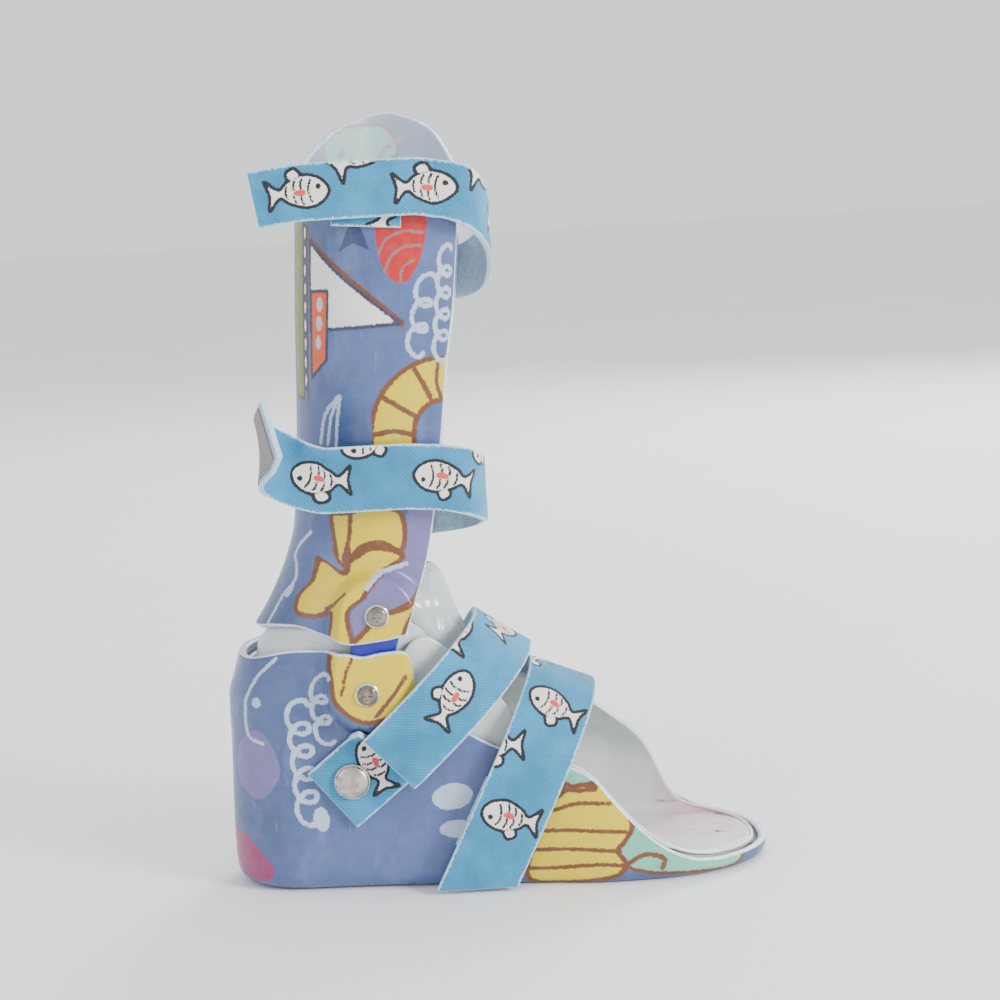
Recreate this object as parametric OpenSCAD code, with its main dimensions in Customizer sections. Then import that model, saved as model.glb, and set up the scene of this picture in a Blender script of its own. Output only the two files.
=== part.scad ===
// Child's hinged ankle foot orthosis for the right foot: two thin plastic shells, joined
// at the ankle by a pair of flexure joints, over a soft inner boot, with four straps.
// +X points to the toes, +Y to the inner (medial) side, +Z up. The origin is on the flat
// sole, under the centre of the heel.

/* [Foot shell] */
// X of the toe tip, ahead of the heel centre
toe_tip = 190; // [184:1:196]
// Wall thickness of both plastic shells
shell_t = 3; // [2.6:0.2:3.2]
// Half width of the heel at the sole
heel_half = 28; // [27:0.5:29]
// Half width of both shells at the ankle, without the joint bosses
ankle_half = 33.5; // [33:0.5:34.5]

/* [Calf shell] */
// Top of the calf shell on the outer side
calf_top = 284; // [276:1:290]
// How much higher the shell stands on the inner side
medial_rise = 22; // [12:1:24]
// Half width of the calf shell at its top
calf_half = 44; // [42:0.5:46]

/* [Ankle joint] */
// X of the ankle axis
axis_x = 37; // [35:0.5:39]
// Z of the ankle axis
axis_z = 97; // [96:0.5:98]
// Distance between the upper and the lower joint screw
screw_pitch = 31; // [30:0.5:32]
// Forward lean of the line through the two screws, in degrees
joint_lean = 10.7; // [8:0.1:12]
// Thickness of the flexures
flexure_t = 4.2; // [3.6:0.2:4.4]

/* [Inner boot] */
// Wall of the soft inner boot
boot_t = 2; // [1.6:0.2:2.2]
// Room between the shells and the boot
boot_gap = 1.8; // [1.7:0.1:2]

/* [Straps] */
// Thickness of a strap's foam-backed band
strap_t = 2.4; // [2:0.2:2.6]
// Width of the top calf strap
top_width = 21; // [19:0.5:22]
// Width of the lower calf strap
mid_width = 25; // [23:0.5:26]
// Width of the two foot straps
foot_width = 29; // [27:0.5:30]

/* [Hidden] */
lateral = -1;
medial = 1;
shell_blue = [0.42, 0.51, 0.72];
boot_grey = [0.86, 0.88, 0.87];
strap_blue = [0.41, 0.71, 0.85];
hook_grey = [0.55, 0.6, 0.65];

// ---- outlines: each is a smooth curve through [position, value] points ----

// Rear of the heel cup, X over Z
heel_line = [[0, -25], [14, -26], [60, -24.5], [78, -24], [86, -21.5], [96, -18.5]];
// Half width of the foot shell over X, on the outer and the inner side
lateral_half = [[-30, heel_half - 1], [8, heel_half], [30, heel_half + 1], [60, 30.5],
                [100, 34], [125, 37.5], [145, 37], [200, 36]];
medial_half = [[-30, heel_half - 1], [8, heel_half], [30, heel_half + 1], [60, 30],
               [90, 35], [115, 40], [135, 41.5], [155, 41], [200, 40]];
// Height at which the walls would close over the foot, over X
lateral_dome = [[40, 400], [60, 170], [80, 115], [100, 95], [125, 76], [150, 60], [195, 45]];
medial_dome = [[40, 400], [60, 140], [77, 94], [90, 87], [101, 82], [115, 76], [127, 67.5],
               [137, 60], [150, 53], [165, 46], [195, 40]];
// Trim lines of the foot shell, Z over X
lateral_trim = [[-20, 95.5], [0, 99], [20, 98], [28, 96.5], [34, 97.5], [42, 98], [46.5, 96],
                [50, 84], [53, 78], [60, 70], [74, 60], [90, 52], [101, 47.5], [108, 47],
                [118, 42.5], [126, 33.5], [137, 21], [148, 12], [160, 7], [171, 6], [190, 6]];
medial_trim = [[-20, 95.5], [0, 99], [20, 98], [28, 96.5], [34, 97.5], [42, 98], [46.5, 96],
               [50, 86], [53, 81], [60, 75], [74, 66], [90, 59], [101, 55], [113, 51],
               [126, 41], [137, 30], [148, 20], [160, 12], [171, 8], [190, 6]];
// Trim lines of the soft boot, Z over X
boot_lateral_trim = [[-20, 92], [0, 93], [42, 93], [48, 99], [54, 101], [61, 97], [74, 85],
                     [85, 74], [95, 58], [103, 48.5], [110, 47.5], [118, 43.5], [126, 34.5],
                     [137, 22], [148, 13.5], [160, 9], [171, 7.5], [190, 7]];
boot_medial_trim = [[-20, 92], [0, 93], [42, 93], [48, 97], [54, 98], [61, 94], [77, 82],
                    [90, 79.5], [101, 77.5], [115, 73.5], [127, 65.5], [137, 56.5], [144, 46],
                    [149, 32], [154, 19], [160, 12], [168, 9.5], [180, 8], [190, 7]];
// Rear of the calf shell, X over Z, and its front edge on either side
calf_line = [[102, -14], [114, -6], [130, 2], [146, 7], [182, 10.5], [235, 13.5], [310, 19]];
front_line = [[100, 48.5], [118, 54.8], [133, 59.6], [150, 63.2], [182, 68.3], [209, 72],
              [231, 75.8], [262, 79], [310, 80]];
calf_half_line = [[98, ankle_half], [120, ankle_half], [150, 35.5], [182, 38.5], [231, calf_half - 2.5],
                  [262, calf_half - 1], [310, calf_half]];
// Bottom edge of the calf shell, Z over X, and the fall of its top towards back and front
calf_foot_line = [[-14, 105], [-5, 107.5], [2, 108], [21, 103.5], [30, 101.3], [42, 102.3], [50, 104]];
lateral_fall = [[17, 3], [32, 0], [55, 0], [68, 1.5], [75, 6], [80, 14]];
medial_fall = [[17, 10], [22, 5], [32, 1], [50, 0], [62, 3], [70, 8], [76, 17], [80, 26]];

// ---- arithmetic of the smooth curves ----
function rise(p, i) = (p[i + 1][1] - p[i][1]) / (p[i + 1][0] - p[i][0]);
function slope(p, i) =
    i == 0 ? rise(p, 0)
    : i == len(p) - 1 ? rise(p, i - 1)
    : rise(p, i - 1) * rise(p, i) <= 0 ? 0
    : 2 * rise(p, i - 1) * rise(p, i) / (rise(p, i - 1) + rise(p, i));
function span(p, x) = max([0, for (i = [1 : len(p) - 2]) if (x >= p[i][0]) i]);
function hermite(p, i, h, s) =
    p[i][1] * (1 - s * s * (3 - 2 * s)) + p[i + 1][1] * s * s * (3 - 2 * s)
    + h * slope(p, i) * s * (1 - s) * (1 - s) - h * slope(p, i + 1) * s * s * (1 - s);
function curve(p, x) =
    let (i = span(p, x), h = p[i + 1][0] - p[i][0], s = min(max((x - p[i][0]) / h, 0), 1))
    hermite(p, i, h, s);
function ease(a, b, x) = let (s = min(max((x - a) / (b - a), 0), 1)) s * s * (3 - 2 * s);
function unit(v) = v / norm(v);
function round_off(s, n) = pow(max(0, 1 - pow(min(max(s, 0), 1), n)), 1 / n);

// ---- the ankle joint ----
lean_dir = [sin(joint_lean), 0, cos(joint_lean)];
axis_at = [axis_x, 0, axis_z];
upper_screw = axis_at + lean_dir * screw_pitch / 2;
lower_screw = axis_at - lean_dir * screw_pitch / 2;
boss_h = 5.5;
boss_flat = 13.4;
boss_foot = 18.8;
boss_out = ankle_half + boss_h;
flexure_out = boss_out - shell_t - 0.3;
screw_r = 2;
hole_r = 2.3;
// How far [x, z] lies from the line between the two screws
function off_joint(x, z) =
    let (p = [x - lower_screw[0], z - lower_screw[2]], d = [lean_dir[0], lean_dir[2]],
         along = min(max(p * d, 0), screw_pitch))
    norm(p - along * d);
// A wall at y is drawn out to the flat of the joint boss
function bossed_wall(y, x, z) = y + (boss_out - y) * (1 - ease(boss_flat, boss_foot, off_joint(x, z)));

// ---- the foot: one smooth surface that the shell and the boot are offset from ----
heel_x = 8;
toe_x = 140;
sole_round = [[-26, 8], [20, 8], [60, 6], [110, 4], [190, 4]];
function foot_end(x, z, side) =
    x < heel_x ? round_off((heel_x - x) / (heel_x - curve(heel_line, z)), 2.2)
    : round_off((x - toe_x) / (toe_tip - toe_x), side == medial ? 2.5 : 2.1);
function foot_half(x, z, side) =
    let (base = curve(side == medial ? medial_half : lateral_half, x),
         ankle = (ankle_half - heel_half - 1.5) * ease(45, 92, z) * (1 - ease(50, 85, x)),
         dome = curve(side == medial ? medial_dome : lateral_dome, x))
    (base + ankle) * pow(max(0, 1 - pow(z / dome, 2.6)), 0.45);
function foot_surface(a, z, bossed) =
    let (back = curve(heel_line, z), half = (toe_tip - back) / 2, x = back + half + half * cos(a),
         side = (a + 360) % 360 <= 180 ? lateral : medial,
         y = foot_half(x, z, side) * foot_end(x, z, side))
    [x, side * (bossed ? bossed_wall(y, x, z) : y), z];
function foot_normal(a, z, bossed) =
    unit(cross(foot_surface(a, z + 0.5, bossed) - foot_surface(a, z - 0.5, bossed),
               foot_surface(a + 1, z, bossed) - foot_surface(a - 1, z, bossed)));
function foot_point(a, z, depth, bossed) =
    foot_surface(a, z, bossed) - depth * foot_normal(a, z, bossed);
function foot_x(a) = foot_surface(a, 20, false)[0];
function flat_normal(a) =
    let (t = foot_surface(a + 1, 8, false) - foot_surface(a - 1, 8, false)) unit([-t[1], t[0], 0]);
// Stations round the foot: close together where the trim line is steep
side_angles = [for (a = [0 : 6 : 72]) a, for (a = [76 : 3 : 124]) a, for (a = [130 : 7 : 173]) a];
foot_angles = [each side_angles, 180, for (i = [len(side_angles) - 1 : -1 : 1]) 360 - side_angles[i]];
plate_inset = 15;
fillet_steps = 3;
shell_rows = 15;
boot_rows = 8;
// From the sole plate round the corner and up one face of the wall
function face_path(a, depth, floor_z, top, rows, bossed) =
    let (corner = curve(sole_round, foot_x(a)), r = max(corner - floor_z, 1),
         rim = foot_surface(a, corner, bossed), n = flat_normal(a))
    [
        concat([for (k = [-1 : fillet_steps - 1])
            let (f = k * 90 / fillet_steps, inset = k < 0 ? plate_inset : depth + r - r * sin(f))
            [rim[0], rim[1], 0] - inset * n + [0, 0, k < 0 ? floor_z : floor_z + r - r * cos(f)]]),
        [for (j = [0 : rows]) let (s = pow(j / rows, 0.8), low = floor_z + r)
            foot_point(a, low + (top - low) * s, depth, bossed)]
    ];
function flat_list(two) = concat(two[0], two[1]);
function turned(v) = [for (i = [len(v) - 1 : -1 : 0]) v[i]];

// A closed bowl from one loop of points at each station round the foot
module bowl(loops) {
    n = len(loops);
    k = len(loops[0]);
    half = n / 2;
    walls = [for (i = [0 : n - 1]) for (j = [0 : k - 2])
        let (a = i * k + j, b = ((i + 1) % n) * k + j) each [[a, b, a + 1], [b, b + 1, a + 1]]];
    bottom = [for (i = [0 : half - 1])
        let (a = i * k, b = (i + 1) * k, c = ((n - i) % n) * k, d = (n - i - 1) * k)
        each concat(a == c ? [] : [[a, c, b]], b == d ? [] : [[b, c, d]])];
    floor_plate = [for (i = [0 : half - 1])
        let (a = i * k + k - 1, b = a + k, c = ((n - i) % n) * k + k - 1, d = (n - i) * k - 1)
        each concat(a == c ? [] : [[a, b, c]], b == d ? [] : [[b, d, c]])];
    polyhedron([for (l = loops) each l], concat(walls, bottom, floor_plate));
}

// A closed strip from one loop of points at each station, with its two ends closed
module ribbon(loops) {
    n = len(loops);
    k = len(loops[0]);
    last = (n - 1) * k;
    // Both faces of a strip are split along the same diagonals
    sides = [for (i = [0 : n - 2]) for (j = [0 : k - 1])
        let (a = i * k + j, b = i * k + (j + 1) % k)
        each j < k / 2 ? [[a, a + k, b], [b, a + k, b + k]] : [[a, a + k, b + k], [a, b + k, b]]];
    ends = [for (j = [0 : k / 2 - 2]) let (p = j, q = j + 1, r = k - 2 - j, s = k - 1 - j)
        each [[p, q, s], [q, r, s], [last + p, last + s, last + q], [last + q, last + s, last + r]]];
    polyhedron([for (l = loops) each l], concat(sides, ends));
}

function foot_loop(a, outer, inner, floor_out, floor_in, top, rows, bossed) =
    concat(flat_list(face_path(a, outer, floor_out, top, rows, bossed)),
           turned(flat_list(face_path(a, inner, floor_in, top, rows, bossed))));
function foot_trim(a, lat, med) = curve(a <= 180 ? lat : med, foot_x(a));

// Well outside the brace on either side, for holes that go right through a wall
beyond = 60;
module across(at, r, from_y, to_y) {
    translate([at[0], from_y, at[2]]) rotate([-90, 0, 0]) cylinder(r = r, h = to_y - from_y, $fn = 48);
}

module foot_shell() {
    color(shell_blue) difference() {
        bowl([for (a = foot_angles)
            foot_loop(a, 0, shell_t, 0, shell_t, foot_trim(a, lateral_trim, medial_trim),
                      shell_rows, true)]);
        across(lower_screw, hole_r, -beyond, beyond);
        across(instep_rivet_at, rivet_hole_r, -beyond, 0);
        across(instep_anchor_at, rivet_hole_r, 0, beyond);
        across(forefoot_anchor_at, rivet_hole_r, 0, beyond);
    }
}

module boot_liner() {
    color(boot_grey) bowl([for (a = foot_angles)
        foot_loop(a, shell_t + boot_gap, shell_t + boot_gap + boot_t, shell_t + 0.2,
                  shell_t + 0.2 + boot_t, foot_trim(a, boot_lateral_trim, boot_medial_trim), boot_rows,
                  false)]);
}

// ---- the calf: a trough, open at the front ----
calf_back_r = 36;
calf_front_r = 60;
function calf_section(s, z, bossed) =
    let (back = curve(calf_line, z), mid = back + calf_back_r,
         full = 90 + asin(min(max((curve(front_line, z) - mid) / calf_front_r, -0.9), 0.9)),
         t = s * full, x = mid - (abs(t) > 90 ? calf_front_r : calf_back_r) * cos(t),
         y = curve(calf_half_line, z) * sin(abs(t)))
    [x, (s < 0 ? -1 : 1) * (bossed ? bossed_wall(y, x, z) : y), z];
function calf_normal(s, z, bossed) =
    unit(cross(calf_section(s, z + 0.5, bossed) - calf_section(s, z - 0.5, bossed),
               calf_section(s + 0.01, z, bossed) - calf_section(s - 0.01, z, bossed)));
function calf_point(s, z, depth, bossed) =
    calf_section(s, z, bossed) - depth * calf_normal(s, z, bossed);
function calf_low(s) = curve(calf_foot_line, calf_section(s, 103, false)[0]);
function calf_high(s) =
    let (x = calf_section(s, calf_top, false)[0], m = ease(-0.35, 0.75, s))
    calf_top - curve(lateral_fall, x) * (1 - m) + (medial_rise - curve(medial_fall, x)) * m;
calf_stations = 44;
calf_rows = 24;

function wall_loop(s, low, high, outer, inner, rows, bossed) = concat(
    [for (j = [0 : rows]) calf_point(s, low + (high - low) * pow(j / rows, 1.6), outer, bossed)],
    [for (j = [rows : -1 : 0]) calf_point(s, low + (high - low) * pow(j / rows, 1.6), inner, bossed)]);

module calf_shell() {
    color(shell_blue) difference() {
        ribbon([for (i = [0 : calf_stations]) let (s = 2 * i / calf_stations - 1)
            wall_loop(s, calf_low(s), calf_high(s), 0, shell_t, calf_rows, true)]);
        across(upper_screw, hole_r, -beyond, beyond);
        across(top_rivet_at, rivet_hole_r, 0, beyond);
        across(mid_rivet_at, rivet_hole_r, 0, beyond);
    }
}

cuff_low = 99.5;
cuff_high = 128;
// How far round the calf the cuff reaches, as a share of the shell's own reach
cuff_reach = 0.9;
cuff_stations = 24;
cuff_rows = 6;
module boot_cuff() {
    inset = shell_t + boot_gap;
    color(boot_grey) ribbon([for (i = [0 : cuff_stations])
        let (s = (2 * i / cuff_stations - 1) * cuff_reach)
        wall_loop(s, cuff_low + 4 * (1 - abs(s)), cuff_high, inset, inset + boot_t, cuff_rows, false)]);
}

// ---- the tongue: a curved flap over the front of the ankle ----
tongue_line = [[70, 86], [88, 78], [97, 73.5], [107, 69], [116, 66], [122, 64], [126, 60]];
tongue_half = [[77, 7], [84, 14.5], [95, 19], [110, 20], [126, 11]];
tongue_t = 1.4;
tongue_stations = 16;
tongue_rows = 10;
// The tongue's edges lie this far behind its middle, at this angle round it
tongue_back = 17;
tongue_side = 80;
// Angle of its wall at the edges
tongue_turn = 60;
function tongue_point(u, z, depth) =
    let (y = curve(tongue_half, z) * sin(tongue_side * u), back = tongue_back * (1 - cos(tongue_side * u)))
    [curve(tongue_line, z) - back - depth * cos(tongue_turn * u), y - depth * sin(tongue_turn * u), z];
module boot_tongue() {
    low = tongue_half[0][0];
    high = tongue_line[len(tongue_line) - 1][0];
    color([0.84, 0.88, 0.88]) ribbon([for (i = [0 : tongue_stations])
        let (u = 2 * i / tongue_stations - 1) concat(
        [for (j = [0 : tongue_rows]) tongue_point(u, low + (high - low) * j / tongue_rows, tongue_t)],
        [for (j = [tongue_rows : -1 : 0]) tongue_point(u, low + (high - low) * j / tongue_rows, 0)])]);
}

// ---- flexures, screws, washers and nuts: the same on both sides ----
tab_r = 9.2;
neck_half = 9;
// Radius of the flexure's holes, which hold the barrel nuts
seat_r = 3.5;
module flexure(side) {
    color([0.05, 0.07, 0.5]) mirror([0, side == medial ? 0 : 1, 0]) difference() {
        union() {
            across(upper_screw, tab_r, flexure_out - flexure_t, flexure_out);
            across(lower_screw, tab_r, flexure_out - flexure_t, flexure_out);
            translate(axis_at) rotate([0, joint_lean, 0])
                translate([-neck_half, flexure_out - flexure_t, -screw_pitch / 2])
                cube([2 * neck_half, flexure_t, screw_pitch]);
        }
        across(upper_screw, seat_r, 0, beyond);
        across(lower_screw, seat_r, 0, beyond);
    }
}
module flexure_lateral() {
    flexure(lateral);
}
module flexure_medial() {
    flexure(medial);
}

nut_r = 3.4;
nut_flange_r = 6.5;
nut_flange_t = 0.9;
washer_r = 4.7;
head_r = 3.7;
module both_sides() {
    children();
    mirror([0, 1, 0]) children();
}
module facing(at, y) {
    translate([at[0], y, at[2]]) rotate([-90, 0, 0]) children();
}
// Countersunk cup washer, with a rolled edge
module cup_washer(at) {
    facing(at, boss_out + 0.05) rotate_extrude($fn = 64)
        polygon([[screw_r + 0.2, 0], [washer_r, 0], [washer_r, 0.5], [washer_r - 0.5, 0.9],
                 [head_r + 0.15, 1.3], [screw_r + 0.2, 0.7]]);
}
// Raised-head screw with a cross recess
module joint_screw(at) {
    facing(at, boss_out - 6.4) difference() {
        union() {
            cylinder(r = screw_r, h = 7.4, $fn = 48);
            translate([0, 0, 7.15]) rotate_extrude($fn = 64)
                polygon([[0, 0.2], [screw_r, 0.1], [head_r, 0.75], [head_r, 1.1],
                         [3.1, 1.6], [1.8, 2], [0, 2.1]]);
        }
        for (turn = [0, 90]) rotate(turn) translate([-1.9, -0.35, 8.3]) cube([3.8, 0.7, 2]);
    }
}
// Flanged barrel nut, seated in the flexure from inside
module barrel_nut(at) {
    facing(at, flexure_out - flexure_t - nut_flange_t) difference() {
        union() {
            cylinder(r = nut_flange_r, h = nut_flange_t - 0.05, $fn = 48);
            cylinder(r = nut_r, h = nut_flange_t + flexure_t - 0.1, $fn = 48);
        }
        translate([0, 0, -1]) cylinder(r = screw_r + 0.05, h = 9, $fn = 48);
    }
}
module calf_joint_screws() {
    color("silver") both_sides() joint_screw(upper_screw);
}
module calf_cup_washers() {
    color("gainsboro") both_sides() cup_washer(upper_screw);
}
module calf_joint_nuts() {
    color("silver") both_sides() barrel_nut(upper_screw);
}
module foot_joint_screws() {
    color("silver") both_sides() joint_screw(lower_screw);
}
module foot_cup_washers() {
    color("gainsboro") both_sides() cup_washer(lower_screw);
}
module foot_joint_nuts() {
    color("silver") both_sides() barrel_nut(lower_screw);
}

// ---- straps: ribbons swept along a path of [inner-face point, outward normal, width way] ----
hook_t = 0.6;
hook_top = -0.15;
pad_inset = 3;
pad_rows = 12;
tab_t = 1.6;
clear = 0.3;
lateral_stand = clear + tab_t + clear + hook_t;
medial_stand = 2 * clear;
cut_gap = 0.2;
flap_rows = 22;
mid_flap_rows = 28;
band_rows = 40;

function strip_loop(f, width, from, to) =
    [f[0] - f[2] * width / 2 + f[1] * from, f[0] + f[2] * width / 2 + f[1] * from,
     f[0] + f[2] * width / 2 + f[1] * to, f[0] - f[2] * width / 2 + f[1] * to];

// Calf straps: [front corner X, reach ahead of it, height, fall to the inner side,
//               X where it leaves the wall, rear end X on the inner side, width,
//               curl of the free end: angle, radius, straight tail, rise]
top_strap = [72, 17.5, 274, 36, 5.5, 40, top_width, 0, 10, 0, -2];
mid_strap = [62, 20, 166, 22, 12, 32, mid_width, 115, 10.5, 9, 23];
rise_x = 24;
function strap_run(k) = k[0] - k[4];
function curl_arc(k) = k[8] * k[7] * PI / 180;
function strap_length(k) = strap_run(k) + curl_arc(k) + k[9];
// X and outward shift at s beyond the point where the free end leaves the wall
function curl(k, s) =
    let (turn = min(s, curl_arc(k)) / k[8] * 180 / PI, tail = max(0, s - curl_arc(k)))
    [-k[8] * sin(turn) - tail * cos(turn), k[8] * (1 - cos(turn)) + tail * sin(turn)];
function wall_y(x, z, stand) =
    let (mid = curve(calf_line, z) + calf_back_r)
    curve(calf_half_line, z) * sqrt(1 - pow(max(x - mid, 0) / calf_front_r, 2)) + stand;
// The wall is widest at the strap's upper edge, so the strap is laid out from there
function wall_z(k) = k[2] + 0.45 * k[6];
function power(v, n) = sign(v) * pow(abs(v), n);
function fall_at(k, t) = k[2] - k[3] * ease(0.85, 2.1, t);
function calf_strap_point(k, t) =
    t < 1 ? let (s = strap_length(k) * (1 - t), x = max(k[0] - s, k[4]),
                 out = curl(k, max(0, s - strap_run(k))), low = k[0] - rise_x,
                 up = k[10] * pow(max(0, s - low) / (strap_length(k) - low), 1.4))
        [x + out[0], -wall_y(x, wall_z(k), lateral_stand) - out[1], fall_at(k, t) + up]
    : t < 2 ? let (turn = 180 * (t - 1), z = fall_at(k, t), y0 = wall_y(k[0], wall_z(k), lateral_stand),
                   y1 = wall_y(k[0], wall_z(k) - k[3], medial_stand), c = power(cos(turn), 0.6))
        [k[0] + k[1] * power(sin(turn), 0.6), -(c > 0 ? y0 : y1) * c, z]
    : let (x = k[0] - (k[0] - k[5]) * (t - 2), z = fall_at(k, t))
        [x, wall_y(x, wall_z(k) - k[3], medial_stand), z];
function calf_strap_frame(k, t) =
    let (run = unit(calf_strap_point(k, min(t + 0.02, 3)) - calf_strap_point(k, max(t - 0.02, 0))),
         n = unit([run[1], -run[0], 0]))
    [calf_strap_point(k, t), n, cross(n, run)];

// Foot straps: [top of the arch X, Z, run angle outside, run angle inside, half width outside,
//               inside, arch height outside, inside, straight length outside, inside, width]
instep_strap = [87.9, 97.7, 43, 64, 40, 33, 43, 38, 18.6, 6, foot_width - 1.4];
forefoot_strap = [111, 78.4, 63, 70, 37.4, 38.5, 62, 36, 22.5, 5, foot_width - 0.6];
arch_n = 0.87;
function foot_strap_place(k, t) =
    t < 1 ? [k[6] + k[8] * (1 - t), -k[4]]
    : t < 2 ? [k[6] * (1 - power(sin(90 * (t - 1)), arch_n)), -k[4] * power(cos(90 * (t - 1)), arch_n)]
    : t < 3 ? [k[7] * (1 - power(cos(90 * (t - 2)), arch_n)), k[5] * power(sin(90 * (t - 2)), arch_n)]
    : [k[7] + k[9] * (t - 3), k[5]];
function foot_strap_angle(k, t) = k[2] + (k[3] - k[2]) * ease(1.5, 2.6, t);
function foot_strap_point(k, t) =
    let (p = foot_strap_place(k, t), a = foot_strap_angle(k, t), down = p[0] + strap_t)
    [k[0] - down * cos(a), p[1] + k[12] * (1 - ease(0, 0.35, t)), k[1] - down * sin(a)];
function foot_strap_frame(k, t) =
    let (run = unit(foot_strap_point(k, t + 0.01) - foot_strap_point(k, t - 0.01)),
         a = foot_strap_angle(k, t), w = [-sin(a), 0, cos(a)], n = unit(cross(run, w)))
    [foot_strap_point(k, t), n, w];

top_hinge = 0.95;
mid_hinge = 0.94;
instep_hinge = 1.3;
forefoot_hinge = 1.4;
top_gap = cut_gap / strap_length(top_strap);
mid_gap = cut_gap / strap_length(mid_strap);
foot_gap = 0.003;
instep = concat(instep_strap, [0, 1.5]);
forefoot = concat(forefoot_strap, [0, 0]);

module calf_strap(k, from, to, rows, low, high) {
    ribbon([for (i = [0 : rows]) let (f = calf_strap_frame(k, from + (to - from) * i / rows))
        strip_loop(f, k[6], low, high)]);
}
// The hook pad shares the stations of its flap, so the two stay parallel round the curl
module calf_hooks(k, hinge, rows, first, last) {
    ribbon([for (i = [first : last]) let (f = calf_strap_frame(k, hinge * i / rows))
        strip_loop(f, k[6] - pad_inset, -hook_t, hook_top)]);
}
module foot_strap(k, from, to, rows, low, high, inset) {
    ribbon([for (i = [0 : rows]) let (f = foot_strap_frame(k, from + (to - from) * i / rows))
        strip_loop(f, k[10] - inset, low, high)]);
}

// Rivets: a domed cap outside, a shank and a flat head inside the shell
rivet_r = 2;
rivet_hole_r = 2.1;
rivet_head_r = 3.2;
rivet_back_t = 0.6;
// Radius and height of a rivet's cap: on a strap, and on the instep tab
strap_cap = [5.5, 2.4];
tab_cap = [7.2, 3];
module rivet(at, side, wall_in, cap_at, cap_r, cap_h) {
    mirror([0, side == medial ? 0 : 1, 0]) facing(at, 0) rotate_extrude($fn = 64)
        polygon(concat(
            [[0, wall_in - rivet_back_t], [rivet_head_r, wall_in - rivet_back_t], [rivet_head_r, wall_in],
             [rivet_r, wall_in], [rivet_r, cap_at], [cap_r, cap_at], [cap_r, cap_at + 0.8]],
            [for (k = [1 : 5]) [(cap_r - 0.5) * cos(15 * k), cap_at + 0.8 + (cap_h - 0.8) * sin(15 * k)]],
            [[0, cap_at + cap_h]]));
}
function calf_wall(at) = curve(calf_half_line, at[2]);
function strap_side(k) = curve(calf_half_line, wall_z(k) - k[3]) + medial_stand + strap_t;
top_rivet_at = [50, 0, top_strap[2] - top_strap[3]];
mid_rivet_at = [42, 0, mid_strap[2] - mid_strap[3]];
instep_rivet_at = [25.5, 0, 45.8];
instep_anchor_at = let (p = foot_strap_point(instep, 3.6)) [p[0], 0, p[2]];
forefoot_anchor_at = let (p = foot_strap_point(forefoot, 3.6)) [p[0], 0, p[2]];
function foot_wall(at, side) = foot_half(at[0], at[2], side);

module top_strap_band() {
    color(strap_blue) difference() {
        calf_strap(top_strap, top_hinge + top_gap, 3, band_rows, 0, strap_t);
        across(top_rivet_at, rivet_hole_r, 0, beyond);
    }
}
module top_strap_flap() {
    color(strap_blue) calf_strap(top_strap, 0, top_hinge - top_gap, flap_rows, 0, strap_t);
}
module top_flap_hooks() {
    color(hook_grey) calf_hooks(top_strap, top_hinge - top_gap, flap_rows, 7, 17);
}
module mid_strap_band() {
    color(strap_blue) difference() {
        calf_strap(mid_strap, mid_hinge + mid_gap, 3, band_rows, 0, strap_t);
        across(mid_rivet_at, rivet_hole_r, 0, beyond);
    }
}
module mid_strap_flap() {
    color(strap_blue) calf_strap(mid_strap, 0, mid_hinge - mid_gap, mid_flap_rows, 0, strap_t);
}
module mid_flap_hooks() {
    color(hook_grey) calf_hooks(mid_strap, mid_hinge - mid_gap, mid_flap_rows, 1, 18);
}
module top_strap_rivets() {
    color("silver") rivet(top_rivet_at, medial, calf_wall(top_rivet_at) - shell_t - 0.5,
        strap_side(top_strap) + 0.1, strap_cap[0], strap_cap[1]);
}
module mid_strap_rivets() {
    color("silver") rivet(mid_rivet_at, medial, calf_wall(mid_rivet_at) - shell_t - 0.5,
        strap_side(mid_strap) + 0.1, strap_cap[0], strap_cap[1]);
}

// A tab that lies on a shell: y is given over [x, z], and the tab runs along a slanted line
module lateral_tab(at, length, width, angle, t, base) {
    tab_rows = 14;
    across_rows = 8;
    ribbon([for (i = [0 : tab_rows]) let (q = length * (i / tab_rows - 0.5)) concat(
        [for (j = [0 : across_rows]) tab_point(at, q, width * (j / across_rows - 0.5), angle, 0, base)],
        [for (j = [across_rows : -1 : 0])
            tab_point(at, q, width * (j / across_rows - 0.5), angle, t, base)])]);
}
function tab_point(at, q, w, angle, lift, base) =
    let (x = at[0] + q * cos(angle) - w * sin(angle), z = at[1] + q * sin(angle) + w * cos(angle))
    [x, -(base(x, z) + clear + lift), z];
calf_base = function (x, z) wall_y(x, z, 0);
foot_side = function (x, z) bossed_wall(foot_half(x, z, lateral) * foot_end(x, z, lateral), x, z);
// The widest wall within tab_room of [x, z], so that a tab clears the foot of the boss
tab_room = 2;
foot_base = function (x, z) max([for (dx = [-1 : 1]) for (dz = [-1 : 1])
    foot_side(x + dx * tab_room, z + dz * tab_room)]);

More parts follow.
